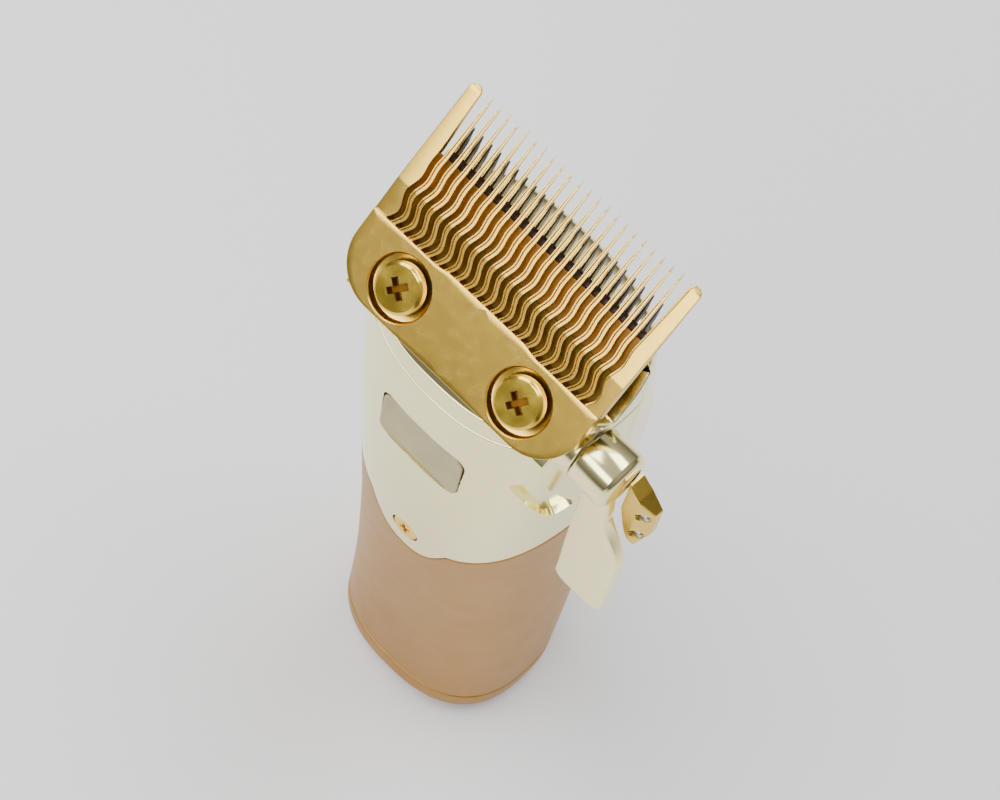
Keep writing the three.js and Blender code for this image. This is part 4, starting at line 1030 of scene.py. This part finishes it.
def cross_screw(radius, height, shank, reach):
    """A domed head on a shank, pointing down -Z with its crown at 0. Every ring of the cross
    follows its outline; rings past it widen into circles while the crown falls away. The second
    part is a thin sheet just inside the cross, which carries the recess's painted shade."""
    arm, slot = radius * 0.46, radius * 0.14
    corner = math.atan2(slot, arm)
    quarter = np.concatenate([
        np.linspace(-corner, corner, 7), np.linspace(corner, np.pi / 4, 7)[1:],
        np.linspace(np.pi / 4, np.pi / 2 - corner, 7)[1:-1],
    ])
    angle = np.concatenate([quarter + k * np.pi / 2 for k in range(4)])
    edge = cross_edge(angle, arm, slot)
    deep = height * 0.85
    crown = height * 0.05
    rows = [
        (0.02 * edge, -deep), (0.78 * edge, -deep), (0.90 * edge, -deep),
        (0.99 * edge, -0.03 * height), (edge + 0.008 * radius, 0.0 * height),
        (edge + 0.016 * radius, 0.0 * height), (edge + 0.045 * radius, 0.0 * height),
    ]
    outer = radius - 0.5
    for share in (0.25, 0.55, 0.8, 1.0):
        ring = (edge + 0.045 * radius) * (1 - share) + outer * share
        rows.append((ring, -crown * 0.45 * (ring / radius) ** 2.4))
    for ring, fall in ((radius - 0.3, 0.32 * height), (radius - 0.12, 0.47 * height),
                       (radius - 0.02, 0.62 * height), (radius, 0.75 * height),
                       (radius, height - 0.08), (radius - 0.1, height), (shank, height),
                       (shank, reach - 0.3), (shank - 0.25, reach)):
        fall = -fall * (0.42 if ring > radius - 0.35 and fall < height * 0.7 else 1.0)
        rows.append((ring + 0 * edge, fall))
    loops = np.array([
        np.stack([r * np.cos(angle), r * np.sin(angle), z + 0 * r], axis=-1) for r, z in rows
    ])
    # A thin sheet just inside the cross's floor and walls, which carries the painted shade of the recess.
    shade_rows_in_cross = [(0.02 * edge, 0.03 - deep), (0.88 * edge, 0.03 - deep), (0.97 * edge, -0.09 * height),
             (0.94 * edge, -0.09 * height), (0.84 * edge, 0.09 - deep), (0.02 * edge, 0.09 - deep)]
    shade_sheet_in_cross = np.array([
        np.stack([r * np.cos(angle), r * np.sin(angle), z + 0 * r], axis=-1) for r, z in shade_rows_in_cross
    ])
    return tube(loops), tube(shade_sheet_in_cross[::-1])


def seated(part, seat, right, up):
    """Turns a screw from the Z axis so that its crown sits at seat and points along up."""
    grid, faces = part
    right, up = np.array(right, float), np.array(up, float)
    third = np.cross(up, right)
    return np.array(seat) + grid @ np.stack([right, third, up]), faces


class CLIPPER_OT_screws(PieceOperator, bpy.types.Operator):
    """Build the cross recessed screws of the blade, covers and base"""

    bl_idname = "clipper.screws"
    bl_label = "Screws"

    def build(self, context):
        for side, word in ((-1, "left"), (1, "right")):
            turn = math.radians(55.0 if side > 0 else 52.0)
            right = math.cos(turn) * np.array([1.0, 0, 0]) + math.sin(turn) * ALONG
            seat = from_blade(side * SCREW_PLACE[0], SCREW_PLACE[1], 0.72)
            node_name = "blade_screw_" + word
            head, recess = cross_screw(4.05, 1.72, 1.7, 5.2)
            place("gold_" + node_name, [seated(head, seat, right, OUTWARD)], "housing",
                  finish_for("screw_gold"), [node_name])
            # The recess piece is the thin sheet in the cross, finished dark as painted shade.
            place("recess_" + node_name, [seated(recess, seat, right, OUTWARD)], "housing",
                  finishes()["recess_gold"])
        for node_name, radius, up, slot in (
            ("housing_screw", 2.6, (0, -1, 0), "screw_gold"),
            ("rear_screw_left", 2.3, (0, 1, 0), "screw_gold"),
            ("rear_screw_right", 2.3, (0, 1, 0), "screw_gold"),
            ("base_screw_left", 2.2, (0, 0, -1), "bare_steel"),
            ("base_screw_right", 2.2, (0, 0, -1), "bare_steel"),
        ):
            low, high = node_box(node_name)
            seat, up = (low + high) / 2, np.array(up, float)
            axis = int(np.argmax(np.abs(up)))
            seat[axis] = high[axis] if up[axis] > 0 else low[axis]
            if node_name.startswith("rear"):
                seat[axis] -= REAR_SCREW_SINK
            right = (0.94, 0.342, 0) if axis == 2 else (0.94, 0, 0.342)
            part, _ = cross_screw(radius, 1.2, 1.0, high[axis] - low[axis])
            place("cross_" + node_name, [seated(part, seat, right, up)], "housing",
                  finish_for(slot), [node_name])


# ---- Covers ----------------------------------------------------------------------------------


def head_cover(rim):
    """The head's band of skin, between the rim and the blade's bed."""
    skin = Skin(-1, SPLIT_Y - GAP / 2)
    return Cover(skin, lambda x, y: rim_edge(x), under_blade, lambda s: 0.45 + 0 * s, 0.5, rim,
                 (130.0, 142.0))


class CLIPPER_OT_head_frame(PieceOperator, bpy.types.Operator):
    """Build the polished head round the blade's bed, with the bed, its bosses and the lever's"""

    bl_idname = "clipper.head_frame"
    bl_label = "Head frame"

    def build(self, context):
        parts = [head_cover(sizes().rim / MM).build()]
        parts.append(slab((-20.6, -13.0, -4.2), (20.6, -2.6, -2.54)))
        for side in (-1, 1):
            grid, faces = lathe(
                [(1.8, -5.0), (3.2, -5.0), (3.2, -2.7), (1.8, -2.7), (1.8, -5.0)], (0, 0, 0), "z", 40
            )
            x, y, z = np.moveaxis(grid, -1, 0)
            parts.append((from_blade(x + side * SCREW_PLACE[0], y + SCREW_PLACE[1], z), faces))
        hub = node_centre("shaft_bushing")
        parts.append(lathe(
            [(3.5, -1.85), (4.9, -1.85), (5.0, -1.7), (5.0, 1.4), (4.8, 1.6), (3.5, 1.6),
             (3.5, -1.85)], hub, "x",
        ))
        place("head_casting", parts, "housing",
              finish_for("polished_champagne"), ["head_frame"])


class CLIPPER_OT_front_cover(PieceOperator, bpy.types.Operator):
    """Build the polished front cover with its lobe, blank patch recess and shoulder pocket"""

    bl_idname = "clipper.front_cover"
    bl_label = "Front cover"

    def build(self, context):
        skin = Skin(-1, SPLIT_Y - GAP / 2)
        fine = lambda s: np.where((s > -9.4) & (s < 26.0), 0.26, 0.5)
        cover = Cover(
            skin, lambda x, y: shield_edge(x), lambda x, y: rim_edge(x, GAP), fine, 0.3,
            sizes().rim / MM,
        )
        plate = node_centre("rating_plate")
        cover.carve(rounded_box(8.8, 6.3, 2.5), 0.5, plate[2], 1.2)
        groove = slanted(rounded_box(*GROOVE_SIZE), math.radians(GROOVE_TURN))
        cover.carve(groove, 0.5, GROOVE_Z, 1.3, shift=GROOVE_SHIFT)
        cover.carve(circle(2.9), 0.5, node_centre("housing_screw")[2], 1.4)
        place("front_cover", [cover.build()], "housing",
              finish_for("polished_champagne"), ["front_housing"])


class CLIPPER_OT_rear_cover(PieceOperator, bpy.types.Operator):
    """Build the rear cover, whose top rounds over into a roof behind the blade"""

    bl_idname = "clipper.rear_cover"
    bl_label = "Rear cover"

    def build(self, context):
        skin = Skin(1, SPLIT_Y + GAP / 2)
        edge = sizes().rim / MM
        share, side_drop = skin.columns(120.0, lambda s: 0.5 + 0 * s, edge)
        turn, turn_inner = 3.5, 1.3
        angle = np.linspace(0.0, np.pi / 2, 9)[1:]
        rise, drop = clustered(REAR_JOINT_Z, ROOF_Z - turn, 0.5, edge)
        wall_rows = len(rise) - 5
        rise, drop = rise[:wall_rows], drop[:wall_rows]
        grids = []
        for inset, roof, radius in ((0.0, ROOF_Z, turn), (WALL, ROOF_Z - 2.0, turn_inner)):
            wall = skin.point(share[None, :], np.minimum(rise, roof - radius)[:, None], inset)
            brink = skin.point(share, np.full_like(share, roof - radius), inset)
            _, depth, middle = section(np.array(roof - radius), inset)
            hub = np.array([0.0, float(middle), 0.0])
            inward = hub - brink
            inward[:, 2] = 0.0
            inward /= np.maximum(np.linalg.norm(inward, axis=1, keepdims=True), 1e-9)
            bend = brink + inward * (radius * (1.0 - np.cos(angle)))[:, None, None]
            bend[..., 2] = roof - radius + (radius * np.sin(angle))[:, None]
            flat = np.linspace(0.0, 1.0, 22)[1:, None]
            over = np.broadcast_to(bend[-1], (len(flat), *bend[-1].shape)).copy()
            over[..., 1] = over[..., 1] * (1 - flat) + (SPLIT_Y + GAP / 2) * flat
            grid = np.concatenate([wall, bend, over])
            grid[..., 1] = np.maximum(grid[..., 1], SPLIT_Y + GAP / 2)
            limit = blade_plane(grid[..., 1], -9.8) - (0.0 if inset == 0.0 else 2.0)
            grid[..., 2] = np.minimum(grid[..., 2], limit)
            grids.append(grid)
        outer, inner = grids
        sunk = np.maximum(drop[:, None], side_drop[None, :])
        screw_z = float(node_centre("rear_screw_right")[2])
        shares, arc = skin.arc(screw_z)
        z = np.broadcast_to(rise[:, None], sunk.shape).copy()
        s = np.interp(np.broadcast_to(share, sunk.shape), shares, arc)
        for side in (-1, 1):
            x_of = skin.point(shares, np.full_like(shares, screw_z))[:, 0]
            middle = np.interp(side * node_centre("rear_screw_right")[0], x_of[::-1], arc[::-1])
            moved, z_moved, inside = draw_onto(circle(2.6), s - middle, z - screw_z, 0.12)
            s, z = moved + middle, z_moved + screw_z
            sunk = np.where(inside, 2.0, sunk)
        share_grid = np.interp(s, arc, shares)
        outer[:wall_rows] = skin.point(share_grid, z) - skin.normal(share_grid, z) * sunk[..., None]
        place("rear_cover", [sheet(outer, inner)], "housing",
              finish_for("polished_champagne"), ["rear_housing"])


class CLIPPER_OT_grip(PieceOperator, bpy.types.Operator):
    """Build the matte copper grip with its switch opening and lamp hole"""

    bl_idname = "clipper.grip"
    bl_label = "Grip"

    def build(self, context):
        skin = Skin(1)
        fine = lambda s: np.where(np.abs(s) < 8.5, 0.4, 0.62)

        def top(x, y):
            joint = REAR_JOINT_Z - GAP
            return np.where(y < 0, np.minimum(joint, shield_edge(x, GAP)), joint)

        cover = Cover(
            skin, lambda x, y: BASE_TOP + GAP + 0 * x, top, fine, 0.6, sizes().rim / MM,
            (10.0, 85.0),
        )
        switch = node_centre("switch_bezel")
        cover.carve(rounded_box(6.8, 13.8, 3.0), 0.5, switch[2], 1.4)
        cover.carve(rounded_box(1.9, 5.5, 0.3), 0.5, switch[2], 1.6, through=True)
        cover.carve(circle(1.8), 0.5, node_centre("status_lens")[2], 0.2, through=True)
        place("copper_grip", [cover.build()], "housing",
              finish_for("copper_satin"), ["grip_body"])


class CLIPPER_OT_base(PieceOperator, bpy.types.Operator):
    """Build the base: a dish with a round edge, the charging mouth and its collar, screw seats"""

    bl_idname = "clipper.base"
    bl_label = "Base"

    def build(self, context):
        sides = 200
        angle = np.arange(sides) * 2 * np.pi / sides
        edge = sizes().rim / MM
        roll = np.linspace(0, np.pi / 2, 5)
        lip_z = BASE_TOP - edge * (1 - np.cos(roll))
        lip_in = edge * (1 - np.sin(roll))
        turn = np.linspace(0.0, np.pi / 2, 14)
        round_z = BASE_ROUND * (1 - np.sin(turn))
        rings = np.linspace(1.0, 0.0, 56)[1:]

        def loops(z, inset, scale=1.0):
            width, depth, middle = section(np.maximum(z, 0.0), inset)
            x = (width * scale)[:, None] * power(np.cos(angle), 2 / SQUARE)
            y = (depth * scale)[:, None] * power(np.sin(angle), 2 / SQUARE) + middle[:, None]
            return np.stack([x, y, np.broadcast_to(z[:, None], x.shape)], axis=-1)

        side = loops(np.concatenate([lip_z, [6.5], round_z]), np.concatenate([lip_in, [0], 0 * turn]))
        outer = np.concatenate([side, loops(0 * rings, 0.0, rings)])
        wall = np.minimum(np.concatenate([np.full_like(lip_z, BASE_TOP), [6.5], np.maximum(round_z, 3.0)]), 8.0)
        inner_side = loops(np.maximum(wall, 5.0), WALL)
        inner_side[..., 2] = wall[:, None]
        inner = np.concatenate([inner_side, loops(0 * rings + 5.0, WALL, rings)])
        inner[len(side):, :, 2] = 3.0
        mouth = node_centre("charging_socket")
        features = [(circle(5.0), mouth[0], mouth[1], 0.0, True)]
        for word in ("left", "right"):
            screw = node_centre("base_screw_" + word)
            features.append((circle(2.5), screw[0], screw[1], 1.6, False))
        keep = np.ones((len(outer) - 1, sides), bool)
        flat = slice(len(side), None)
        for outline, x, y, depth, through in features:
            bottom = outer[flat]
            moved_x, moved_y, inside = draw_onto(outline, bottom[..., 0] - x, bottom[..., 1] - y, 0.1)
            bottom[..., 0], bottom[..., 1] = moved_x + x, moved_y + y
            bottom[..., 2] = np.where(inside, depth, bottom[..., 2])
            if through:
                inner[flat][..., 0:2] = bottom[..., 0:2]
                both = inside & np.roll(inside, -1, axis=1)
                keep[len(side):] &= ~(both[1:] & both[:-1])
        collar = lathe(
            [(4.4, 0.25), (4.55, 0.1), (5.3, 0.1), (5.6, 0.3), (5.6, 4.85), (5.45, 5.0), (4.55, 5.0),
             (4.4, 4.85), (4.4, 0.25)], (mouth[0], mouth[1], 0.0), "z",
        )
        place("copper_base", [sheet(outer, inner, keep, wrap=True), collar], "housing",
              finish_for("copper_satin"), ["base_cap"])


class CLIPPER_OT_patch(PieceOperator, bpy.types.Operator):
    """Build the blank patch on the front cover"""

    bl_idname = "clipper.patch"
    bl_label = "Blank patch"

    def build(self, context):
        low, high = node_box("rating_plate")
        middle = (low + high) / 2
        turn = np.linspace(0, 2 * np.pi, 96, endpoint=False)
        x, z = soft_loop(turn, (high[0] - low[0]) / 2, (high[2] - low[2]) / 2, 2.2)
        rows = [(0.94, high[1]), (1.0, high[1] - 0.08), (1.0, low[1] + 0.12), (0.99, low[1] + 0.03),
                (0.955, low[1]), (0.94, low[1]), (0.925, low[1] + 0.07), (0.6, low[1] + 0.07),
                (0.3, low[1] + 0.07)]
        grid = np.stack([
            np.stack([middle[0] + x * s, np.full_like(x, y), middle[2] + z * s],
                     axis=-1) for s, y in rows
        ])
        place("blank_patch", [tube(grid)], "housing", finish_for("rating_panel"),
              ["rating_plate"])


# ---- Lever -----------------------------------------------------------------------------------


class CLIPPER_OT_lever(PieceOperator, bpy.types.Operator):
    """Build the taper lever: a polished hub, a shoulder, a stem and a wide paddle"""

    bl_idname = "clipper.lever"
    bl_label = "Taper lever"

    def build(self, context):
        hub = node_centre("shaft_bushing")
        low, high = node_box("taper_lever")
        start, end, radius = 23.6, 30.6, sizes().hub / MM
        profile = [
            (0.0, start), (radius - 0.5, start), (radius - 0.12, start + 0.12),
            (radius, start + 0.4), (radius, end - 1.0), (radius - 0.06, end - 0.84),
            (radius - 0.3, end - 0.62), (radius - 0.34, end - 0.5), (radius - 0.75, end - 0.06),
            (radius - 0.95, end), (radius - 1.5, end), (radius - 1.7, end - 0.14),
            (radius - 2.6, end - 0.16), (radius - 3.4, end - 0.14), (0.0, end - 0.12),
        ]
        parts = [lathe([(max(r, 0.001), a) for r, a in profile], (0.0, hub[1], hub[2]), "x", 112)]
        foot, top = low[2], hub[2] + 0.5
        z = np.concatenate([
            foot + 1.6 * (1 - np.cos(np.linspace(0.12, np.pi / 2, 10))), np.linspace(foot + 2.0, top, 110)
        ])
        left = 25.85 - 0.55 * smooth(z, foot, 130.0) - 1.1 * smooth(z, 129.0, 134.0)
        right = 35.8 - 4.95 * smooth(z, 119.0, 129.5) - 1.0 * smooth(z, 129.0, 137.0)
        nip = np.sqrt(np.clip(1 - np.clip((foot + 1.6 - z) / 1.6, 0, 1) ** 2, 0.0, 1.0))
        nip = 0.62 + 0.38 * nip
        middle, half = (left + right) / 2, (right - left) / 2
        half = half - 1.3 * (1 - nip) / 0.38
        front, thick = hub[1] - 2.3, 2.8
        y_half = (thick / 2) * (1.0 - 0.5 * (1 - nip))
        parts.append(loft(z, (middle, front + thick / 2), (half, y_half), 4.6, 56))
        place("polished_lever", parts, "lever",
              finish_for("polished_champagne"), ["taper_lever"])


class CLIPPER_OT_lever_tab(PieceOperator, bpy.types.Operator):
    """Build the small faceted tab beside the hub, with two dimples for its screws"""

    bl_idname = "clipper.lever_tab"
    bl_label = "Lever tab"

    def build(self, context):
        low, high = node_box("lever_tab")
        hub = node_centre("shaft_bushing")
        z = np.linspace(low[2], hub[2] - 1.0, 96)
        drop = hub[2] - z
        right = low[0] + np.interp(drop, [1.0, 2.6, 5.5, 12.2, 17.0], [0.35, 2.6, 5.4, 5.6, 4.2])
        left = low[0] + np.interp(drop, [1.0, 9.0, 14.0, 17.0], [0.0, 0.0, 1.8, 3.85])
        share = np.linspace(0.0, 1.0, 44)
        x = left[:, None] + (right - left)[:, None] * share
        zz = np.broadcast_to(z[:, None], x.shape).copy()
        slope = 0.577 * np.clip(x - (low[0] + 3.0), 0, None) + 0.12 * np.clip(low[0] + 1.2 - x, 0, None)
        sunk = slope.copy()
        for node_name in ("tab_screw_upper", "tab_screw_lower"):
            spot = node_centre(node_name)
            x_new, z_new, inside = draw_onto(circle(1.15), x - spot[0], zz - spot[2], 0.1)
            x, zz = x_new + spot[0], z_new + spot[2]
            sunk = np.where(inside, 1.25, sunk)
        border = np.minimum(
            np.minimum(x - left[:, None], right[:, None] - x),
            np.minimum(zz - z[0], z[-1] - zz) * 0.8,
        )
        sunk = sunk + 0.3 * (1 - np.clip(border / 0.3, 0, 1)) ** 2
        front = np.stack([x, low[1] + sunk, zz], axis=-1)
        back = np.stack([x, np.full_like(x, high[1]), zz], axis=-1)
        place("faceted_tab", [sheet(front, back)], "lever", finish_for("blade_gold"),
              ["lever_tab"], sharp=24.0)


# ---- Switch and lamp -------------------------------------------------------------------------


class CLIPPER_OT_switch(PieceOperator, bpy.types.Operator):
    """Build the switch's bezel, the ribbed thumb slide and the lamp's domed lens"""

    bl_idname = "clipper.switch"
    bl_label = "Switch and lamp"

    def build(self, context):
        low, high = node_box("switch_bezel")
        middle = (low + high) / 2
        turn = np.linspace(0, 2 * np.pi, 120, endpoint=False) + 0.013

        outer_size = ((high[0] - low[0]) / 2, (high[2] - low[2]) / 2, 2.8)
        back, face = low[1], high[1]
        rows = []
        for size, inset, y in (
            ((1.9, 5.5, 0.3), 0.0, back), ((1.9, 5.5, 0.3), 0.0, face - 0.55),
            ((1.9, 5.5, 0.3), -0.2, face - 0.35), ((4.9, 10.0, 2.2), 0.0, face - 0.3),
            ((5.3, 11.6, 2.5), 0.0, face - 0.04), (outer_size, 0.5, face),
            (outer_size, 0.2, face - 0.05), (outer_size, 0.03, face - 0.22),
            (outer_size, 0.0, face - 0.45), (outer_size, 0.0, back + 0.1), (outer_size, 0.1, back),
        ):
            corner = size[2] - max(inset, 0.0) * 0.8
            x, z = soft_loop(turn, size[0] - inset, size[1] - inset, corner)
            rows.append(np.stack([middle[0] + x, np.full_like(x, y), middle[2] + z], axis=-1))
        ring = np.stack(rows)
        place("switch_surround", [(ring, grid_faces(*ring.shape[:2], wrap_rows=True))], "housing",
              finish_for("black_plastic"), ["switch_bezel"])
        low, high = node_box("power_switch")
        floor, crest = high[1] - 2.8, high[1]
        z = np.linspace(low[2] + 0.02, high[2] - 0.02, 130)
        edge = np.minimum(z - low[2], high[2] - z)
        nip = np.sqrt(np.clip(1 - np.clip(1 - edge / 1.6, 0, 1) ** 2, 0, 1))
        ribs = 0.5 * (1 + np.cos(2 * np.pi * (z - (low[2] + high[2]) / 2) / 1.5))
        ribs = ribs**1.5 * smooth(edge, 1.2, 2.2) * 0.6
        tall = (crest - 0.6 - floor) * (0.55 + 0.45 * nip) + ribs
        slide = loft(z, (0.0, floor + tall / 2), (4.5 * (0.72 + 0.28 * nip), tall / 2), 5.0, 64)
        stem = node_centre("power_switch")
        post = loft(
            np.linspace(low[1], floor + 0.5, 6), (0.0, stem[2]), (1.5, 1.2), 7.0, 28, along=1
        )
        place("thumb_slide", [slide, post], "power_switch",
              finish_for("polished_champagne"), ["power_switch"])
        low, high = node_box("status_lens")
        centre = (low + high) / 2
        profile = [(0.001, low[1]), (1.5, low[1]), (1.5, high[1] - 0.45), (1.44, high[1] - 0.3),
                   (1.2, high[1] - 0.16), (0.8, high[1] - 0.06), (0.4, high[1] - 0.02),
                   (0.001, high[1])]
        place("lamp_lens", [lathe(profile, (centre[0], 0.0, centre[2]), "y", 64)], "housing",
              finish_for("lens_clear"), ["status_lens"])


class CLIPPER_OT_frame_finishes(PieceOperator, bpy.types.Operator):
    """Give every frame node that still shows its own detailed finish"""

    bl_idname = "clipper.frame_finishes"
    bl_label = "Inner pieces"

    def build(self, context):
        slots = {row["node"]: row["material_slot"] for row in frame["record"]["subparts"]}
        materials = finishes()
        for name, piece in frame["nodes"].items():
            piece.data.materials.clear()
            piece.data.materials.append(materials[slots[name]])


# ---- Stage -----------------------------------------------------------------------------------


class CLIPPER_OT_stage(PieceOperator, bpy.types.Operator):
    """Build the pale floor, the soft lights and the camera"""

    bl_idname = "clipper.stage"
    bl_label = "Stage"

    def build(self, context):
        scene = context.scene
        span, cells = 4.0, 9
        line = np.linspace(-span, span, cells)
        x, y = np.meshgrid(line, line, indexing="ij")
        mesh = bpy.data.meshes.new("studio_floor")
        points = np.stack([x, y, np.zeros_like(x)], axis=-1).reshape(-1, 3)
        faces = grid_faces(cells, cells, wrap_columns=False)
        mesh.from_pydata(points.tolist(), [], faces.tolist())
        floor = bpy.data.objects.new("studio_floor", mesh)
        scene.collection.objects.link(floor)
        paper = bpy.data.materials.new("floor_paper")
        paper.use_nodes = True
        shader = paper.node_tree.nodes["Principled BSDF"]
        shader.inputs["Base Color"].default_value = (0.86, 0.86, 0.87, 1.0)
        shader.inputs["Roughness"].default_value = 0.8
        mesh.materials.append(paper)
        world = bpy.data.worlds.new("studio")
        scene.world = world
        world.use_nodes = True
        tree = world.node_tree
        sky = tree.nodes["Background"]
        way = node(tree, "TexCoord").outputs["Generated"]
        up = node(tree, "SeparateXYZ", [("Vector", way)]).outputs["Z"]
        level = node(tree, "MapRange", [("Value", up)], From_Min=0.0, From_Max=0.9)
        shade = mixed(tree, level.outputs["Result"], (0.16, 0.155, 0.14), (1.0, 0.99, 0.96))
        tree.links.new(shade, sky.inputs["Color"])
        sky.inputs["Strength"].default_value = 0.6
        for name, at, aim, wide, tall, power_w in (
            ("key_softbox", (-0.55, -0.15, 0.95), (0.0, 0.0, 0.1), 0.8, 0.6, 9.0),
            ("top_softbox", (0.15, 0.35, 1.1), (0.0, 0.0, 0.1), 0.7, 0.5, 7.0),
            ("front_softbox", (-0.15, -0.78, 0.78), (0.0, 0.0, 0.15), 1.2, 0.34, 8.0),
        ):
            light = bpy.data.lights.new(name, "AREA")
            light.shape = "RECTANGLE"
            light.size, light.size_y, light.energy = wide, tall, power_w
            lamp = bpy.data.objects.new(name, light)
            lamp.location = at
            way = Vector(aim) - Vector(at)
            lamp.rotation_euler = way.to_track_quat("-Z", "Y").to_euler()
            scene.collection.objects.link(lamp)
        camera = bpy.data.objects.new("camera", bpy.data.cameras.new("camera"))
        camera.data.lens = 100.1
        camera.data.sensor_width = 36.0
        camera.data.clip_start = 0.01
        back = Vector((0.22065, -0.39763, 0.89062)).normalized()
        across = Vector((0.70402, 0.69690, 0.13672))
        across = (across - back * across.dot(back)).normalized()
        above = back.cross(across)
        turned = [[across[i], above[i], back[i]] for i in range(3)]
        camera.rotation_euler = Matrix(turned).to_euler()
        camera.location = (0.0988, -0.18383, 0.50305)
        scene.collection.objects.link(camera)
        scene.camera = camera


# ---- Panel and registration ------------------------------------------------------------------

PIECES = (
    CLIPPER_OT_blade, CLIPPER_OT_cutter, CLIPPER_OT_screws, CLIPPER_OT_head_frame,
    CLIPPER_OT_front_cover, CLIPPER_OT_rear_cover, CLIPPER_OT_grip, CLIPPER_OT_base,
    CLIPPER_OT_patch, CLIPPER_OT_lever, CLIPPER_OT_lever_tab, CLIPPER_OT_switch,
    CLIPPER_OT_frame_finishes, CLIPPER_OT_stage,
)


class CLIPPER_PT_panel(bpy.types.Panel):
    """Lists the settings and the pieces in the 3D view's sidebar"""

    bl_idname = "CLIPPER_PT_panel"
    bl_label = "Hair clipper"
    bl_space_type = "VIEW_3D"
    bl_region_type = "UI"
    bl_category = "Clipper"

    def draw(self, context):
        for group in (context.scene.clipper_sizes, context.scene.clipper_finishes):
            box = self.layout.box()
            for label in type(group).__annotations__:
                box.prop(group, label)
        for piece in PIECES:
            self.layout.operator(piece.bl_idname)


CLASSES = (ClipperSizes, ClipperFinishes, *PIECES, CLIPPER_PT_panel)


def register():
    for kind in CLASSES:
        bpy.utils.register_class(kind)
    bpy.types.Scene.clipper_sizes = bpy.props.PointerProperty(type=ClipperSizes)
    bpy.types.Scene.clipper_finishes = bpy.props.PointerProperty(type=ClipperFinishes)


def unregister():
    del bpy.types.Scene.clipper_finishes
    del bpy.types.Scene.clipper_sizes
    for kind in reversed(CLASSES):
        bpy.utils.unregister_class(kind)


def main():
    register()
    for piece in PIECES:
        group, name = piece.bl_idname.split(".")
        getattr(getattr(bpy.ops, group), name)()


if __name__ == "__main__":
    main()
